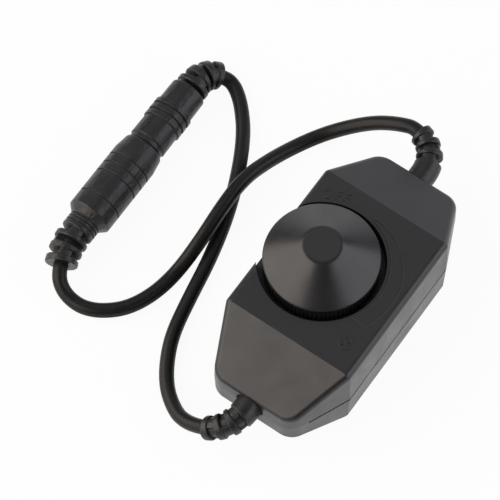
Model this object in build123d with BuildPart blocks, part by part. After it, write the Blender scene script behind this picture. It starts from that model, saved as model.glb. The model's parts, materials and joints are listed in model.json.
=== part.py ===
"""In-line LED dimmer: a two-part housing with a turning dial, and a short lead at each end.

Millimetres, +Z up. The origin is the centre of the housing's flat underside, and +X runs along the
housing towards the end where the input lead enters. The leads lie on the surface that the housing
stands on, and the output plug is pushed into the input socket beside it.
"""

import os
from math import cos, degrees, pi, radians, sin, sqrt, tan

from build123d import *

# Housing
HOUSING_LENGTH = 68.0
HOUSING_WIDTH = 34.2  # at the parting line
HOUSING_HEIGHT = 23.2
PARTING_Z = 10.7
TOP_FLAT_LENGTH = 39.4  # level middle of the top
BOTTOM_FLAT_EXTRA = 1.2  # level middle of the underside, longer than the top's
END_WIDTH = 21.4  # end wall, before its corners are rounded
END_CORNER_RADIUS = 4.5
END_TOP_Z = 14.9  # where the sloping top meets the end wall
END_BOTTOM_Z = 5.2  # where the sloping underside meets the end wall
END_MARGIN = 1.0  # side view drawn on past the end walls
DRAFT = 1.5  # degrees
TOP_EDGE_RADIUS = 1.6
BOTTOM_EDGE_RADIUS = 0.8
WALL = 2.0
SEAM_DEPTH = 0.8  # shadow line along the parting, between the rounded ends
SEAM_HEIGHT = 0.7
LIP_INSET = 1.1  # from the outside to the lip that locates the covers
LIP_HEIGHT = 1.5
LIP_CLEARANCE = 0.1

# Dial and the well that it sinks into
DIAL_Y = 4.4
WELL_RADIUS = 14.8
WELL_DEPTH = 3.6
WELL_WALL = 1.6
WELL_FLOOR = 2.0
KNOB_RADIUS = 13.4  # at the rim
KNOB_RIM_HEIGHT = 2.3  # rim above the housing's top
KNOB_RISE = 6.6  # level disc above the rim
KNOB_DISC_RADIUS = 4.5
KNOB_RIM_ROUND = 0.7
KNOB_DISC_ROUND = 1.6
KNOB_WALL = 1.6
KNOB_FLOOR_GAP = 0.6  # skirt above the floor of the well
SKIRT_INSET = 0.15
RIB_COUNT = 84
RIB_DEPTH = 0.35
RIB_END_GAP = 0.9  # plain band between the ribs and the rim
HUB_RADIUS = 4.8
HUB_GAP = 0.5  # hub above the bush

# Potentiometer
POT_WIDTH = 9.6
POT_DEPTH = 11.4
POT_BASE_HEIGHT = 4.6
POT_PLATE = 2.2
POT_CELL_RADIUS = 4.2
POT_CELL_FLOOR = 1.2
POT_LEG_WIDTH = 2.4
POT_LEG = 0.6
BUSH_RADIUS = 3.5
BUSH_LENGTH = 5.2
BUSH_CLEARANCE = 0.1  # bush in the floor of the well
SHAFT_RADIUS = 3.0
SHAFT_RUNNING_CLEARANCE = 0.05
SHAFT_FIT = 0.02  # shaft in the hub and in the wiper
SHAFT_FLAT = 1.5  # depth of the flat on the shaft
SHAFT_GRIP = 7.0  # length of shaft in the hub
SHAFT_END_GAP = 0.3
WIPER_RADIUS = 3.9
WIPER_HEIGHT = 2.4
WIPER_FLOOR_GAP = 0.2
WIPER_STUB_RADIUS = 2.0
WIPER_STUB_FLAT = 0.8
STOP_LENGTH = 1.5
STOP_TURN = 28.0  # degrees that each stop lug takes up
STOP_CLEARANCE = 0.1
SHOULDER_GAP = 0.2  # where the shaft widens, above the top of the cell
WASHER_RADIUS = 5.5
WASHER = 0.5
NUT_ACROSS_FLATS = 10.0
NUT_HEIGHT = 2.0
NUT_FIT = 0.02
TERMINAL_WIDTH = 0.8
TERMINAL = 0.4
TERMINAL_PITCH = 2.5
TERMINAL_RISE = 2.0  # above the board
TERMINAL_TAIL = 1.0  # below the board
TERMINAL_HOLE_RADIUS = 0.6

# Circuit board and what is soldered to it
BOARD_LENGTH = 27.0
BOARD_WIDTH = 27.0
BOARD = 1.6
BOARD_POST_X = 11.0
BOARD_POST_Y = 10.8
BOARD_POST_RADIUS = 2.0
BOARD_PIN_RADIUS = 0.9
BOARD_PIN_CLEARANCE = 0.1
BOARD_PIN_RISE = 0.5  # pin above the board
CAPACITOR_PLACE = (-8.0, -7.0)
CAPACITOR_RADIUS = 3.15
CAPACITOR_HEIGHT = 5.4
CAPACITOR_EDGE = 0.5
TRANSISTOR_PLACE = (7.6, -5.6)
TRANSISTOR_SIZE = (6.5, 6.1, 2.3)
TRANSISTOR_TAB = (5.2, 1.4, 0.6)
CHIP_PLACE = (0.0, -8.6)
CHIP_SIZE = (4.9, 3.9, 1.5)
CHIP_LEG = (0.4, 1.0, 0.6)
CHIP_PITCH = 1.27
DIODE_PLACE = (8.2, 6.6)
DIODE_SIZE = (4.3, 2.6, 2.2)
RESISTOR_PLACES = ((-8.0, 4.0), (-8.0, 6.6), (8.2, 2.6))
RESISTOR_SIZE = (3.2, 1.6, 0.6)

# Screws that hold the covers together
SCREW_X = 17.6
SCREW_Y = 11.6
SCREW_HEAD_RADIUS = 2.1
SCREW_HEAD_HEIGHT = 1.5
SCREW_RADIUS = 1.1
SCREW_LENGTH = 11.0
SCREW_FIT = 0.05
SCREW_SEAT_Z = 5.0
SCREW_END_GAP = 1.0
BOSS_RADIUS = 3.2
HEAD_CLEARANCE = 0.3
DRIVE_WIDTH = 0.6
DRIVE_LENGTH = 2.4
DRIVE_DEPTH = 0.8

# Leads and their slotted strain reliefs
CORD_DIAMETER = 3.5
CORE_WALL = 0.3  # sleeve round the cord at the bottom of the slots
RING_ROUND = 0.3
WEB_INSET = 0.35
WEB_WIDTH = 3.0
RELIEF_Y = 0.45  # off the housing's centre line, on the dial's side
RELIEF_RISE = 0.6  # above the parting line
RELIEF_BASE_DIAMETER = 6.5
RELIEF_RING_DIAMETER = 6.4
RELIEF_TIP_DIAMETER = 5.7
INPUT_BASE = 5.3  # plain length outside the wall
OUTPUT_BASE = 3.4
RELIEF_SLOT = 1.5
RELIEF_RING = 1.3
RELIEF_TIP_RING = 1.5
INPUT_STRAIGHT = 2.4  # before the bend starts
OUTPUT_STRAIGHT = 1.0
RELIEF_FIT = 0.05
RECESS_GAP = 0.3  # round the relief, at the outside of the wall
RECESS_DEPTH = 1.0
FLANGE_WIDTH = 11.0
FLANGE_HEIGHT = 4.8
FLANGE = 2.0
FLANGE_GAP = 0.1
INPUT_BEND = 74.0  # degrees
OUTPUT_BEND = 80.0
INPUT_DROOP = 3.0
OUTPUT_DROOP = 33.0
LEAD_DIAMETER = 1.3
LEAD_SPACING = 2.0
LEAD_ARCH = 2.4  # lead above the board where it comes over to its pad
LEAD_DROP = 2.6  # length of the arch before the pad
LEAD_BEND_RADIUS = 1.2
PAD_X = 12.6
PAD_SPACING = 3.0

# Socket and plug, on one axis beside the housing
CONNECTOR_Y = 59.4
CONNECTOR_GAP = 0.3  # between the two faces
SOCKET_DIAMETER = 11.1
SOCKET_FACE_X = 6.9
SOCKET_LENGTH = 21.6
SOCKET_FACE_DIAMETER = 9.9
SOCKET_NOSE = 3.8
SOCKET_SHOULDER = 1.6
SOCKET_NECK_DIAMETER = 8.0
SOCKET_NECK = 3.6
SOCKET_RING_DIAMETER = 8.2
SOCKET_TIP_DIAMETER = 7.8
SOCKET_GROOVES = (6.4, 9.0, 11.6, 17.8)  # from the face
SOCKET_BEND = 24.0
SOCKET_DROOP = 14.0
PLUG_DIAMETER = 9.5
PLUG_LENGTH = 18.0
PLUG_COLLAR_DIAMETER = 8.9
PLUG_COLLAR = 1.2
COLLAR_ROUND = 0.2
PLUG_REAR_DIAMETER = 9.0
PLUG_RIB_START = 7.4
PLUG_RIB_COUNT = 3
PLUG_RIB_PITCH = 1.9
PLUG_RIB = 1.1
PLUG_RIB_RISE = 0.25
PLUG_RING_DIAMETER = 8.2
PLUG_TIP_DIAMETER = 6.8
PLUG_SLOT = 1.0
PLUG_RING = 1.4
PLUG_TIP_RING = 1.4
PLUG_BEND = 60.0
PLUG_DROOP = 36.0
GROOVE_WIDTH = 0.5
GROOVE_DEPTH = 0.25
NECK_GROOVE_WIDTH = 0.35
NECK_GROOVE_PITCH = 0.9
NECK_GROOVES = 3
CONNECTOR_ROUND = 0.5
BARREL_DIAMETER = 5.5
BARREL_WALL = 0.45
BARREL_REACH = 9.5  # in front of the plug's face
BARREL_ROOT = 5.0  # held in the plug's body
CONTACT_WALL = 0.4
PIN_DIAMETER = 2.1
PIN_CLEARANCE = 0.06
PIN_REACH = 9.0  # in front of the liner's end wall
PIN_ROUND = 0.5
LINER_DIAMETER = 8.4
LINER_BORE = 6.4
LINER_DEPTH = 11.0
LINER_END = 2.0
SPRING_ARC = 50.0  # degrees round the bore
SPRING = 0.3
SPRING_LENGTH = 8.0
CONTACT_GAP = 0.05  # spring off the barrel
CONTACT_FIT = 0.02  # between pieces pressed together
INSULATOR_SETBACK = 0.3  # behind the front of the barrel
CONTACT_SETBACK = 1.0

# Way that each lead takes over the surface, from its connector to the housing
CORNER_SHARE = 0.45  # of the shorter run at a corner, taken up by its bend
SURFACE_GAP = 0.05  # under what lies on the surface
CORD_Z = CORD_DIAMETER / 2 + SURFACE_GAP  # of a cord lying on the surface
SOCKET_CORD_EXIT = 2.6
PLUG_CORD_EXIT = 1.7
INPUT_CORD_EXIT = 2.2
OUTPUT_CORD_EXIT = 3.4
INPUT_CORD_POINTS = (
    (-32.4, 54.4, 3.2),
    (-33.1, 51.3, 2.0),
    (-32.9, 47.6, CORD_Z),
    (-30.9, 43.5, CORD_Z),
    (-26.9, 39.4, CORD_Z),
    (-20.6, 36.6, CORD_Z),
    (-13.0, 35.4, 1.9),
    (-4.5, 34.7, 5.4),
    (4.5, 35.3, 6.3),
    (13.5, 35.5, 6.2),
    (21.8, 34.1, 3.6),
    (29.5, 31.5, CORD_Z),
    (35.6, 27.8, 2.3),
    (40.0, 23.0, 4.7),
    (42.8, 18.3, 7.4),
    (44.2, 14.6, 9.1),
    (45.0, 11.5, 10.3),
)
OUTPUT_CORD_POINTS = (
    (34.6, 53.7, 2.1),
    (33.6, 51.4, CORD_Z),
    (30.6, 47.9, CORD_Z),
    (25.0, 43.3, CORD_Z),
    (16.0, 38.5, CORD_Z),
    (5.5, 34.3, CORD_Z),
    (-6.0, 31.2, CORD_Z),
    (-17.5, 29.2, CORD_Z),
    (-26.6, 27.3, CORD_Z),
    (-33.4, 24.1, CORD_Z),
    (-38.4, 20.4, 2.0),
    (-41.5, 16.3, 2.7),
    (-43.1, 13.0, 3.9),
)

# Worked out from the sizes above
BOTTOM_FLAT_LENGTH = TOP_FLAT_LENGTH + BOTTOM_FLAT_EXTRA
RELIEF_Z = PARTING_Z + RELIEF_RISE
FLOOR_TOP_Z = HOUSING_HEIGHT - WELL_DEPTH
FLOOR_UNDER_Z = FLOOR_TOP_Z - WELL_FLOOR
POT_TOP_Z = FLOOR_UNDER_Z
PLATE_Z = POT_TOP_Z - POT_PLATE
BOARD_TOP_Z = PLATE_Z - POT_BASE_HEIGHT
BOARD_Z = BOARD_TOP_Z - BOARD
BUSH_TOP_Z = POT_TOP_Z + BUSH_LENGTH
CELL_FLOOR_Z = BOARD_TOP_Z + POT_CELL_FLOOR
WIPER_Z = CELL_FLOOR_Z + WIPER_FLOOR_GAP
SHOULDER_Z = PLATE_Z + SHOULDER_GAP
HUB_Z = BUSH_TOP_Z + HUB_GAP
KNOB_RIM_Z = HOUSING_HEIGHT + KNOB_RIM_HEIGHT
KNOB_TOP_Z = KNOB_RIM_Z + KNOB_RISE
KNOB_Z = FLOOR_TOP_Z + KNOB_FLOOR_GAP
SKIRT_RADIUS = KNOB_RADIUS - SKIRT_INSET
TOP_SLOPE = (HOUSING_HEIGHT - END_TOP_Z) / (HOUSING_LENGTH / 2 - TOP_FLAT_LENGTH / 2)
BOTTOM_SLOPE = END_BOTTOM_Z / (HOUSING_LENGTH / 2 - BOTTOM_FLAT_LENGTH / 2)
CORE_RADIUS = CORD_DIAMETER / 2 + CORE_WALL
CONNECTOR_Z = SOCKET_DIAMETER / 2 + SURFACE_GAP
PLUG_FACE_X = SOCKET_FACE_X + CONNECTOR_GAP
SCREW_PLACES = [(x, y) for x in (-SCREW_X, SCREW_X) for y in (-SCREW_Y, SCREW_Y)]
POST_PLACES = [(x, y) for x in (-BOARD_POST_X, BOARD_POST_X) for y in (-BOARD_POST_Y, BOARD_POST_Y)]

os.makedirs("parts", exist_ok=True)


def save(builder, name):
    builder.part.label = name
    export_step(builder.part, f"parts/{name}.step")


# Housing outlines


def housing_plan(inset=0.0):
    """Long octagon of the housing seen from above at the parting line, drawn in by inset."""
    with BuildSketch(mode=Mode.PRIVATE) as plan:
        with BuildLine():
            Polyline(
                (TOP_FLAT_LENGTH / 2, HOUSING_WIDTH / 2),
                (-TOP_FLAT_LENGTH / 2, HOUSING_WIDTH / 2),
                (-HOUSING_LENGTH / 2, END_WIDTH / 2),
                (-HOUSING_LENGTH / 2, -END_WIDTH / 2),
                (-TOP_FLAT_LENGTH / 2, -HOUSING_WIDTH / 2),
                (TOP_FLAT_LENGTH / 2, -HOUSING_WIDTH / 2),
                (HOUSING_LENGTH / 2, -END_WIDTH / 2),
                (HOUSING_LENGTH / 2, END_WIDTH / 2),
                close=True,
            )
        make_face()
        end_corners = plan.vertices().filter_by(lambda v: abs(v.X) > HOUSING_LENGTH / 2 - 0.01)
        fillet(end_corners, END_CORNER_RADIUS)
        if inset:
            offset(amount=-inset, kind=Kind.INTERSECTION)
    return plan.sketch


def side_profile(inset=0.0):
    """Housing seen from the side, with sloping ends above and below, drawn in by inset."""
    reach = HOUSING_LENGTH / 2 + END_MARGIN
    top = HOUSING_HEIGHT - inset
    bottom = inset
    top_drop = TOP_SLOPE * (reach - TOP_FLAT_LENGTH / 2) + inset * ((1 + TOP_SLOPE**2) ** 0.5 - 1)
    bottom_rise = BOTTOM_SLOPE * (reach - BOTTOM_FLAT_LENGTH / 2) + inset * (
        (1 + BOTTOM_SLOPE**2) ** 0.5 - 1
    )
    top_half = TOP_FLAT_LENGTH / 2 - inset * ((1 + TOP_SLOPE**2) ** 0.5 - 1) / TOP_SLOPE
    bottom_half = BOTTOM_FLAT_LENGTH / 2 - inset * ((1 + BOTTOM_SLOPE**2) ** 0.5 - 1) / BOTTOM_SLOPE
    with BuildSketch(mode=Mode.PRIVATE) as profile:
        with BuildLine():
            Polyline(
                (top_half, top),
                (-top_half, top),
                (-reach, top - top_drop),
                (-reach, bottom + bottom_rise),
                (-bottom_half, bottom),
                (bottom_half, bottom),
                (reach, bottom + bottom_rise),
                (reach, top - top_drop),
                close=True,
            )
        make_face()
    return profile.sketch


def rim_edges(shape, upward):
    """Outer edges of the faces that look up (or down), without the folds between them."""
    level = [f for f in shape.faces() if f.normal_at().Z * upward > 0.5]
    edges = [e for f in level for e in f.edges()]
    return [e for e in edges if sum(e.is_same(other) for other in edges) == 1]


def lead_holes():
    """Round holes through both end walls for the reliefs, wider at the outside."""
    with BuildPart(mode=Mode.PRIVATE) as holes:
        for end in (-1, 1):
            with BuildSketch(Plane((0, RELIEF_Y, RELIEF_Z), z_dir=(end, 0, 0))):
                Circle(RELIEF_BASE_DIAMETER / 2 + RELIEF_FIT)
            extrude(amount=HOUSING_LENGTH)
            recess_x = end * (HOUSING_LENGTH / 2 - RECESS_DEPTH)
            with BuildSketch(Plane((recess_x, RELIEF_Y, RELIEF_Z), z_dir=(end, 0, 0))):
                Circle(RELIEF_BASE_DIAMETER / 2 + RECESS_GAP)
            extrude(amount=2 * RECESS_DEPTH)
    return holes.part


# Hollow of the top cover, with the well's bucket and the screw bosses left standing
with BuildPart() as top_hollow:
    with BuildSketch(Plane.XY.offset(PARTING_Z)):
        add(housing_plan(WALL))
    extrude(amount=HOUSING_HEIGHT - PARTING_Z)
    with BuildSketch(Plane.XZ):
        add(side_profile(WALL))
    extrude(amount=HOUSING_WIDTH, both=True, mode=Mode.INTERSECT)
    with BuildSketch(Plane.XY.offset(FLOOR_UNDER_Z)):
        with Locations((0, DIAL_Y)):
            Circle(WELL_RADIUS + WELL_WALL)
    extrude(amount=HOUSING_HEIGHT, mode=Mode.SUBTRACT)
    with BuildSketch(Plane.XY.offset(PARTING_Z)):
        with Locations(*SCREW_PLACES):
            Circle(BOSS_RADIUS)
    extrude(amount=HOUSING_HEIGHT, mode=Mode.SUBTRACT)

with BuildPart() as top_cover:
    with BuildSketch(Plane.XY.offset(PARTING_Z)):
        add(housing_plan())
    extrude(amount=HOUSING_HEIGHT - PARTING_Z, taper=DRAFT)
    with BuildSketch(Plane.XZ):
        add(side_profile())
    extrude(amount=HOUSING_WIDTH, both=True, mode=Mode.INTERSECT)
    fillet(rim_edges(top_cover.part, 1), TOP_EDGE_RADIUS)
    add(top_hollow.part, mode=Mode.SUBTRACT)
    # Rebate for the bottom cover's lip
    with BuildSketch(Plane.XY.offset(PARTING_Z)):
        add(housing_plan(LIP_INSET - LIP_CLEARANCE))
        add(housing_plan(WALL), mode=Mode.SUBTRACT)
    extrude(amount=LIP_HEIGHT + LIP_CLEARANCE, mode=Mode.SUBTRACT)
    # Well, which breaks out through one long wall, and the hole for the bush
    with BuildSketch(Plane.XY.offset(FLOOR_TOP_Z)):
        with Locations((0, DIAL_Y)):
            Circle(WELL_RADIUS)
    extrude(amount=HOUSING_HEIGHT, mode=Mode.SUBTRACT)
    with Locations((0, DIAL_Y, FLOOR_TOP_Z)):
        Hole(BUSH_RADIUS + BUSH_CLEARANCE, depth=2 * WELL_FLOOR)
    # Screw holes and the upper parts of the lead holes
    with BuildSketch(Plane.XY.offset(PARTING_Z)):
        with Locations(*SCREW_PLACES):
            Circle(SCREW_RADIUS + SCREW_FIT)
    extrude(amount=SCREW_SEAT_Z + SCREW_LENGTH + SCREW_END_GAP - PARTING_Z, mode=Mode.SUBTRACT)
    add(lead_holes(), mode=Mode.SUBTRACT)
save(top_cover, "top_cover")

# Hollow of the bottom cover, with the screw and board posts left standing
with BuildPart() as bottom_hollow:
    with BuildSketch():
        add(housing_plan(WALL))
    extrude(amount=PARTING_Z)
    with BuildSketch(Plane.XZ):
        add(side_profile(WALL))
    extrude(amount=HOUSING_WIDTH, both=True, mode=Mode.INTERSECT)
    for places, radius, top in (
        (SCREW_PLACES, BOSS_RADIUS, PARTING_Z),
        (POST_PLACES, BOARD_POST_RADIUS, BOARD_Z),
        (POST_PLACES, BOARD_PIN_RADIUS, BOARD_TOP_Z + BOARD_PIN_RISE),
    ):
        with BuildSketch():
            with Locations(*places):
                Circle(radius)
        extrude(amount=top, mode=Mode.SUBTRACT)

with BuildPart() as bottom_cover:
    with BuildSketch(Plane((0, 0, PARTING_Z), x_dir=(1, 0, 0), z_dir=(0, 0, -1))):
        add(housing_plan())
    extrude(amount=PARTING_Z, taper=DRAFT)
    with BuildSketch(Plane.XZ):
        add(side_profile())
    extrude(amount=HOUSING_WIDTH, both=True, mode=Mode.INTERSECT)
    fillet(rim_edges(bottom_cover.part, -1), BOTTOM_EDGE_RADIUS)
    add(bottom_hollow.part, mode=Mode.SUBTRACT)
    # Shadow line under the parting along both sides, and the lip that locates the top cover
    with BuildSketch(Plane.XY.offset(PARTING_Z - SEAM_HEIGHT)):
        Rectangle(HOUSING_LENGTH - 2 * END_CORNER_RADIUS, 2 * HOUSING_WIDTH)
        add(housing_plan(SEAM_DEPTH), mode=Mode.SUBTRACT)
    extrude(amount=SEAM_HEIGHT, mode=Mode.SUBTRACT)
    with BuildSketch(Plane.XY.offset(PARTING_Z)):
        add(housing_plan(LIP_INSET))
        add(housing_plan(WALL), mode=Mode.SUBTRACT)
    extrude(amount=LIP_HEIGHT)
    # Sunk screw holes and the lower parts of the lead holes
    with BuildSketch():
        with Locations(*SCREW_PLACES):
            Circle(SCREW_HEAD_RADIUS + HEAD_CLEARANCE)
    extrude(amount=SCREW_SEAT_Z, mode=Mode.SUBTRACT)
    with BuildSketch():
        with Locations(*SCREW_PLACES):
            Circle(SCREW_RADIUS + SCREW_FIT)
    extrude(amount=PARTING_Z, mode=Mode.SUBTRACT)
    add(lead_holes(), mode=Mode.SUBTRACT)
save(bottom_cover, "bottom_cover")

with BuildPart() as cover_screws:
    with BuildSketch(Plane.XY.offset(SCREW_SEAT_Z - SCREW_HEAD_HEIGHT)):
        with Locations(*SCREW_PLACES):
            Circle(SCREW_HEAD_RADIUS)
    extrude(amount=SCREW_HEAD_HEIGHT)
    with BuildSketch(Plane.XY.offset(SCREW_SEAT_Z)):
        with Locations(*SCREW_PLACES):
            Circle(SCREW_RADIUS)
    extrude(amount=SCREW_LENGTH)
    # Cross for the driver
    with BuildSketch(Plane.XY.offset(SCREW_SEAT_Z - SCREW_HEAD_HEIGHT)):
        with Locations(*SCREW_PLACES):
            Rectangle(DRIVE_LENGTH, DRIVE_WIDTH)
            Rectangle(DRIVE_WIDTH, DRIVE_LENGTH)
    extrude(amount=DRIVE_DEPTH, mode=Mode.SUBTRACT)
save(cover_screws, "cover_screws")

# Potentiometer


def dial_plane(z):
    """Level plane on the dial's axis."""
    return Plane((0, DIAL_Y, z))


def sector(radius, middle, spread):
    """Slice of a disc about the direction middle, in degrees."""
    with BuildSketch(mode=Mode.PRIVATE) as slice_of_disc:
        with BuildLine():
            rim = CenterArc((0, 0), radius, middle - spread / 2, spread)
            Line((0, 0), rim @ 0)
            Line(rim @ 1, (0, 0))
        make_face()
    return slice_of_disc.sketch


def flatted_disc(radius, flat):
    """Round section with one flat, cut flat deep on its +Y side."""
    with BuildSketch(mode=Mode.PRIVATE) as section:
        Circle(radius)
        with Locations((0, 2 * radius - flat)):
            Rectangle(2 * radius, 2 * radius, mode=Mode.SUBTRACT)
    return section.sketch


STOP_INNER = WIPER_RADIUS - STOP_LENGTH
FRONT_TERMINALS = [(x * TERMINAL_PITCH, -POT_DEPTH / 2 - TERMINAL / 2) for x in (-1, 0, 1)]
SWITCH_TERMINALS = [(x * TERMINAL_PITCH, POT_DEPTH / 2 + TERMINAL / 2) for x in (-0.5, 0.5)]
TERMINAL_PLACES = FRONT_TERMINALS + SWITCH_TERMINALS

with BuildPart() as pot_base:
    with BuildSketch(dial_plane(BOARD_TOP_Z)):
        Rectangle(POT_WIDTH, POT_DEPTH)
    extrude(amount=POT_BASE_HEIGHT)
    # Round cell for the wiper, with the lug that stops it
    with BuildSketch(dial_plane(CELL_FLOOR_Z)):
        Circle(POT_CELL_RADIUS)
        add(sector(POT_CELL_RADIUS, -90, STOP_TURN), mode=Mode.SUBTRACT)
        Circle(STOP_INNER + STOP_CLEARANCE)
    extrude(amount=POT_BASE_HEIGHT, mode=Mode.SUBTRACT)
save(pot_base, "pot_base")

with BuildPart() as pot_housing:
    with BuildSketch(dial_plane(PLATE_Z)):
        Rectangle(POT_WIDTH + 2 * POT_LEG, POT_DEPTH)
    extrude(amount=POT_PLATE)
    with BuildSketch(dial_plane(BOARD_TOP_Z)):
        with Locations((-POT_WIDTH / 2 - POT_LEG / 2, 0), (POT_WIDTH / 2 + POT_LEG / 2, 0)):
            Rectangle(POT_LEG, POT_LEG_WIDTH)
    extrude(amount=POT_BASE_HEIGHT)
    with BuildSketch(dial_plane(POT_TOP_Z)):
        Circle(BUSH_RADIUS)
    extrude(amount=BUSH_LENGTH)
    with BuildSketch(dial_plane(PLATE_Z)):
        Circle(SHAFT_RADIUS + SHAFT_RUNNING_CLEARANCE)
    extrude(amount=POT_PLATE + BUSH_LENGTH, mode=Mode.SUBTRACT)
save(pot_housing, "pot_housing")

with BuildPart() as pot_terminals:
    with BuildSketch(dial_plane(BOARD_Z - TERMINAL_TAIL)):
        with Locations(*TERMINAL_PLACES):
            Rectangle(TERMINAL_WIDTH, TERMINAL)
    extrude(amount=TERMINAL_TAIL + BOARD + TERMINAL_RISE)
save(pot_terminals, "pot_terminals")

with BuildPart() as pot_wiper:
    with BuildSketch(dial_plane(WIPER_Z)):
        Circle(STOP_INNER)
        add(sector(WIPER_RADIUS, 90, STOP_TURN))
        add(flatted_disc(WIPER_STUB_RADIUS + SHAFT_FIT, WIPER_STUB_FLAT), mode=Mode.SUBTRACT)
    extrude(amount=WIPER_HEIGHT)
save(pot_wiper, "pot_wiper")

with BuildPart() as pot_shaft:
    with BuildSketch(dial_plane(WIPER_Z)):
        add(flatted_disc(WIPER_STUB_RADIUS, WIPER_STUB_FLAT))
    extrude(amount=SHOULDER_Z - WIPER_Z)
    with BuildSketch(dial_plane(SHOULDER_Z)):
        Circle(SHAFT_RADIUS)
    extrude(amount=HUB_Z - SHOULDER_Z)
    with BuildSketch(dial_plane(HUB_Z)):
        add(flatted_disc(SHAFT_RADIUS, SHAFT_FLAT))
    extrude(amount=SHAFT_GRIP)
save(pot_shaft, "pot_shaft")

with BuildPart() as pot_washer:
    with BuildSketch(dial_plane(FLOOR_TOP_Z)):
        Circle(WASHER_RADIUS)
        Circle(BUSH_RADIUS + BUSH_CLEARANCE, mode=Mode.SUBTRACT)
    extrude(amount=WASHER)
save(pot_washer, "pot_washer")

with BuildPart() as pot_nut:
    with BuildSketch(dial_plane(FLOOR_TOP_Z + WASHER)):
        RegularPolygon(NUT_ACROSS_FLATS / 2, 6, major_radius=False)
        Circle(BUSH_RADIUS + NUT_FIT, mode=Mode.SUBTRACT)
    extrude(amount=NUT_HEIGHT)
save(pot_nut, "pot_nut")

# Knob: a hollow cone over a ribbed skirt, with a hub on the shaft
CONE_SLOPE = KNOB_RISE / (KNOB_RADIUS - KNOB_DISC_RADIUS)
CONE_WALL = KNOB_WALL * sqrt(1 + CONE_SLOPE**2)  # measured upright
HOLLOW_RADIUS = SKIRT_RADIUS - KNOB_WALL
SKIRT_TOP_Z = KNOB_RIM_Z - KNOB_RIM_ROUND


def under_cone(radius):
    """Height of the cone's underside at a distance from its axis."""
    return KNOB_RIM_Z + CONE_SLOPE * (KNOB_RADIUS - radius) - CONE_WALL


with BuildPart() as knob:
    with BuildSketch(Plane((0, DIAL_Y, 0), x_dir=(1, 0, 0), z_dir=(0, -1, 0))) as knob_section:
        with BuildLine():
            Polyline(
                (0, KNOB_TOP_Z),
                (0, HUB_Z),
                (HUB_RADIUS, HUB_Z),
                (HUB_RADIUS, under_cone(HUB_RADIUS)),
                (HOLLOW_RADIUS, under_cone(HOLLOW_RADIUS)),
                (HOLLOW_RADIUS, KNOB_Z),
                (SKIRT_RADIUS, KNOB_Z),
                (SKIRT_RADIUS, SKIRT_TOP_Z),
                (KNOB_RADIUS, SKIRT_TOP_Z),
                (KNOB_RADIUS, KNOB_RIM_Z),
                (KNOB_DISC_RADIUS, KNOB_TOP_Z),
                close=True,
            )
        make_face()
        rim = knob_section.vertices().filter_by(lambda v: abs(v.X - KNOB_RADIUS) < 0.01).sort_by(Axis.Y)[-1]
        fillet(rim, KNOB_RIM_ROUND)
        disc = knob_section.vertices().filter_by(lambda v: abs(v.X - KNOB_DISC_RADIUS) < 0.01)
        fillet(disc, KNOB_DISC_ROUND)
    revolve(axis=Axis((0, DIAL_Y, 0), (0, 0, 1)))
    with BuildSketch(dial_plane(HUB_Z)):
        add(flatted_disc(SHAFT_RADIUS + SHAFT_FIT, SHAFT_FLAT))
    extrude(amount=SHAFT_GRIP + SHAFT_END_GAP, mode=Mode.SUBTRACT)
    with BuildSketch(dial_plane(KNOB_Z)):
        with PolarLocations(SKIRT_RADIUS, RIB_COUNT):
            Rectangle(RIB_DEPTH * sqrt(2), RIB_DEPTH * sqrt(2), rotation=45)
    extrude(amount=SKIRT_TOP_Z - RIB_END_GAP - KNOB_Z, mode=Mode.SUBTRACT)
save(knob, "knob")

# Circuit board and its components
with BuildPart() as circuit_board:
    with BuildSketch(Plane.XY.offset(BOARD_Z)):
        Rectangle(BOARD_LENGTH, BOARD_WIDTH)
        with Locations(*POST_PLACES):
            Circle(BOARD_PIN_RADIUS + BOARD_PIN_CLEARANCE, mode=Mode.SUBTRACT)
        with Locations(*[(x, y + DIAL_Y) for x, y in TERMINAL_PLACES]):
            Circle(TERMINAL_HOLE_RADIUS, mode=Mode.SUBTRACT)
    extrude(amount=BOARD)
save(circuit_board, "circuit_board")


def on_board(place):
    """Plane on top of the board with its origin at a component's place."""
    return Plane((*place, BOARD_TOP_Z))


with BuildPart() as filter_capacitor:
    with BuildSketch(on_board(CAPACITOR_PLACE)):
        Circle(CAPACITOR_RADIUS)
    extrude(amount=CAPACITOR_HEIGHT)
    fillet(filter_capacitor.faces().sort_by(Axis.Z)[-1].edges(), CAPACITOR_EDGE)
save(filter_capacitor, "filter_capacitor")

with BuildPart() as power_transistor:
    length, width, height = TRANSISTOR_SIZE
    tab_length, tab_width, tab_height = TRANSISTOR_TAB
    with BuildSketch(on_board(TRANSISTOR_PLACE)):
        Rectangle(length, width)
    extrude(amount=height)
    with BuildSketch(on_board(TRANSISTOR_PLACE)):
        with Locations((0, -width / 2 - tab_width / 2)):
            Rectangle(tab_length, tab_width)
    extrude(amount=tab_height)
save(power_transistor, "power_transistor")

with BuildPart() as timer_chip:
    length, width, height = CHIP_SIZE
    leg_width, leg_length, leg_height = CHIP_LEG
    with BuildSketch(on_board(CHIP_PLACE)):
        Rectangle(length, width)
    extrude(amount=height)
    with BuildSketch(on_board(CHIP_PLACE)):
        with GridLocations(CHIP_PITCH, width + leg_length, 4, 2):
            Rectangle(leg_width, leg_length)
    extrude(amount=leg_height)
save(timer_chip, "timer_chip")

with BuildPart() as freewheel_diode:
    with BuildSketch(on_board(DIODE_PLACE)):
        Rectangle(*DIODE_SIZE[:2])
    extrude(amount=DIODE_SIZE[2])
save(freewheel_diode, "freewheel_diode")

with BuildPart() as chip_resistors:
    with BuildSketch(Plane.XY.offset(BOARD_TOP_Z)):
        with Locations(*RESISTOR_PLACES):
            Rectangle(*RESISTOR_SIZE[:2])
    extrude(amount=RESISTOR_SIZE[2])
save(chip_resistors, "chip_resistors")

# Slotted strain reliefs


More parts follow.
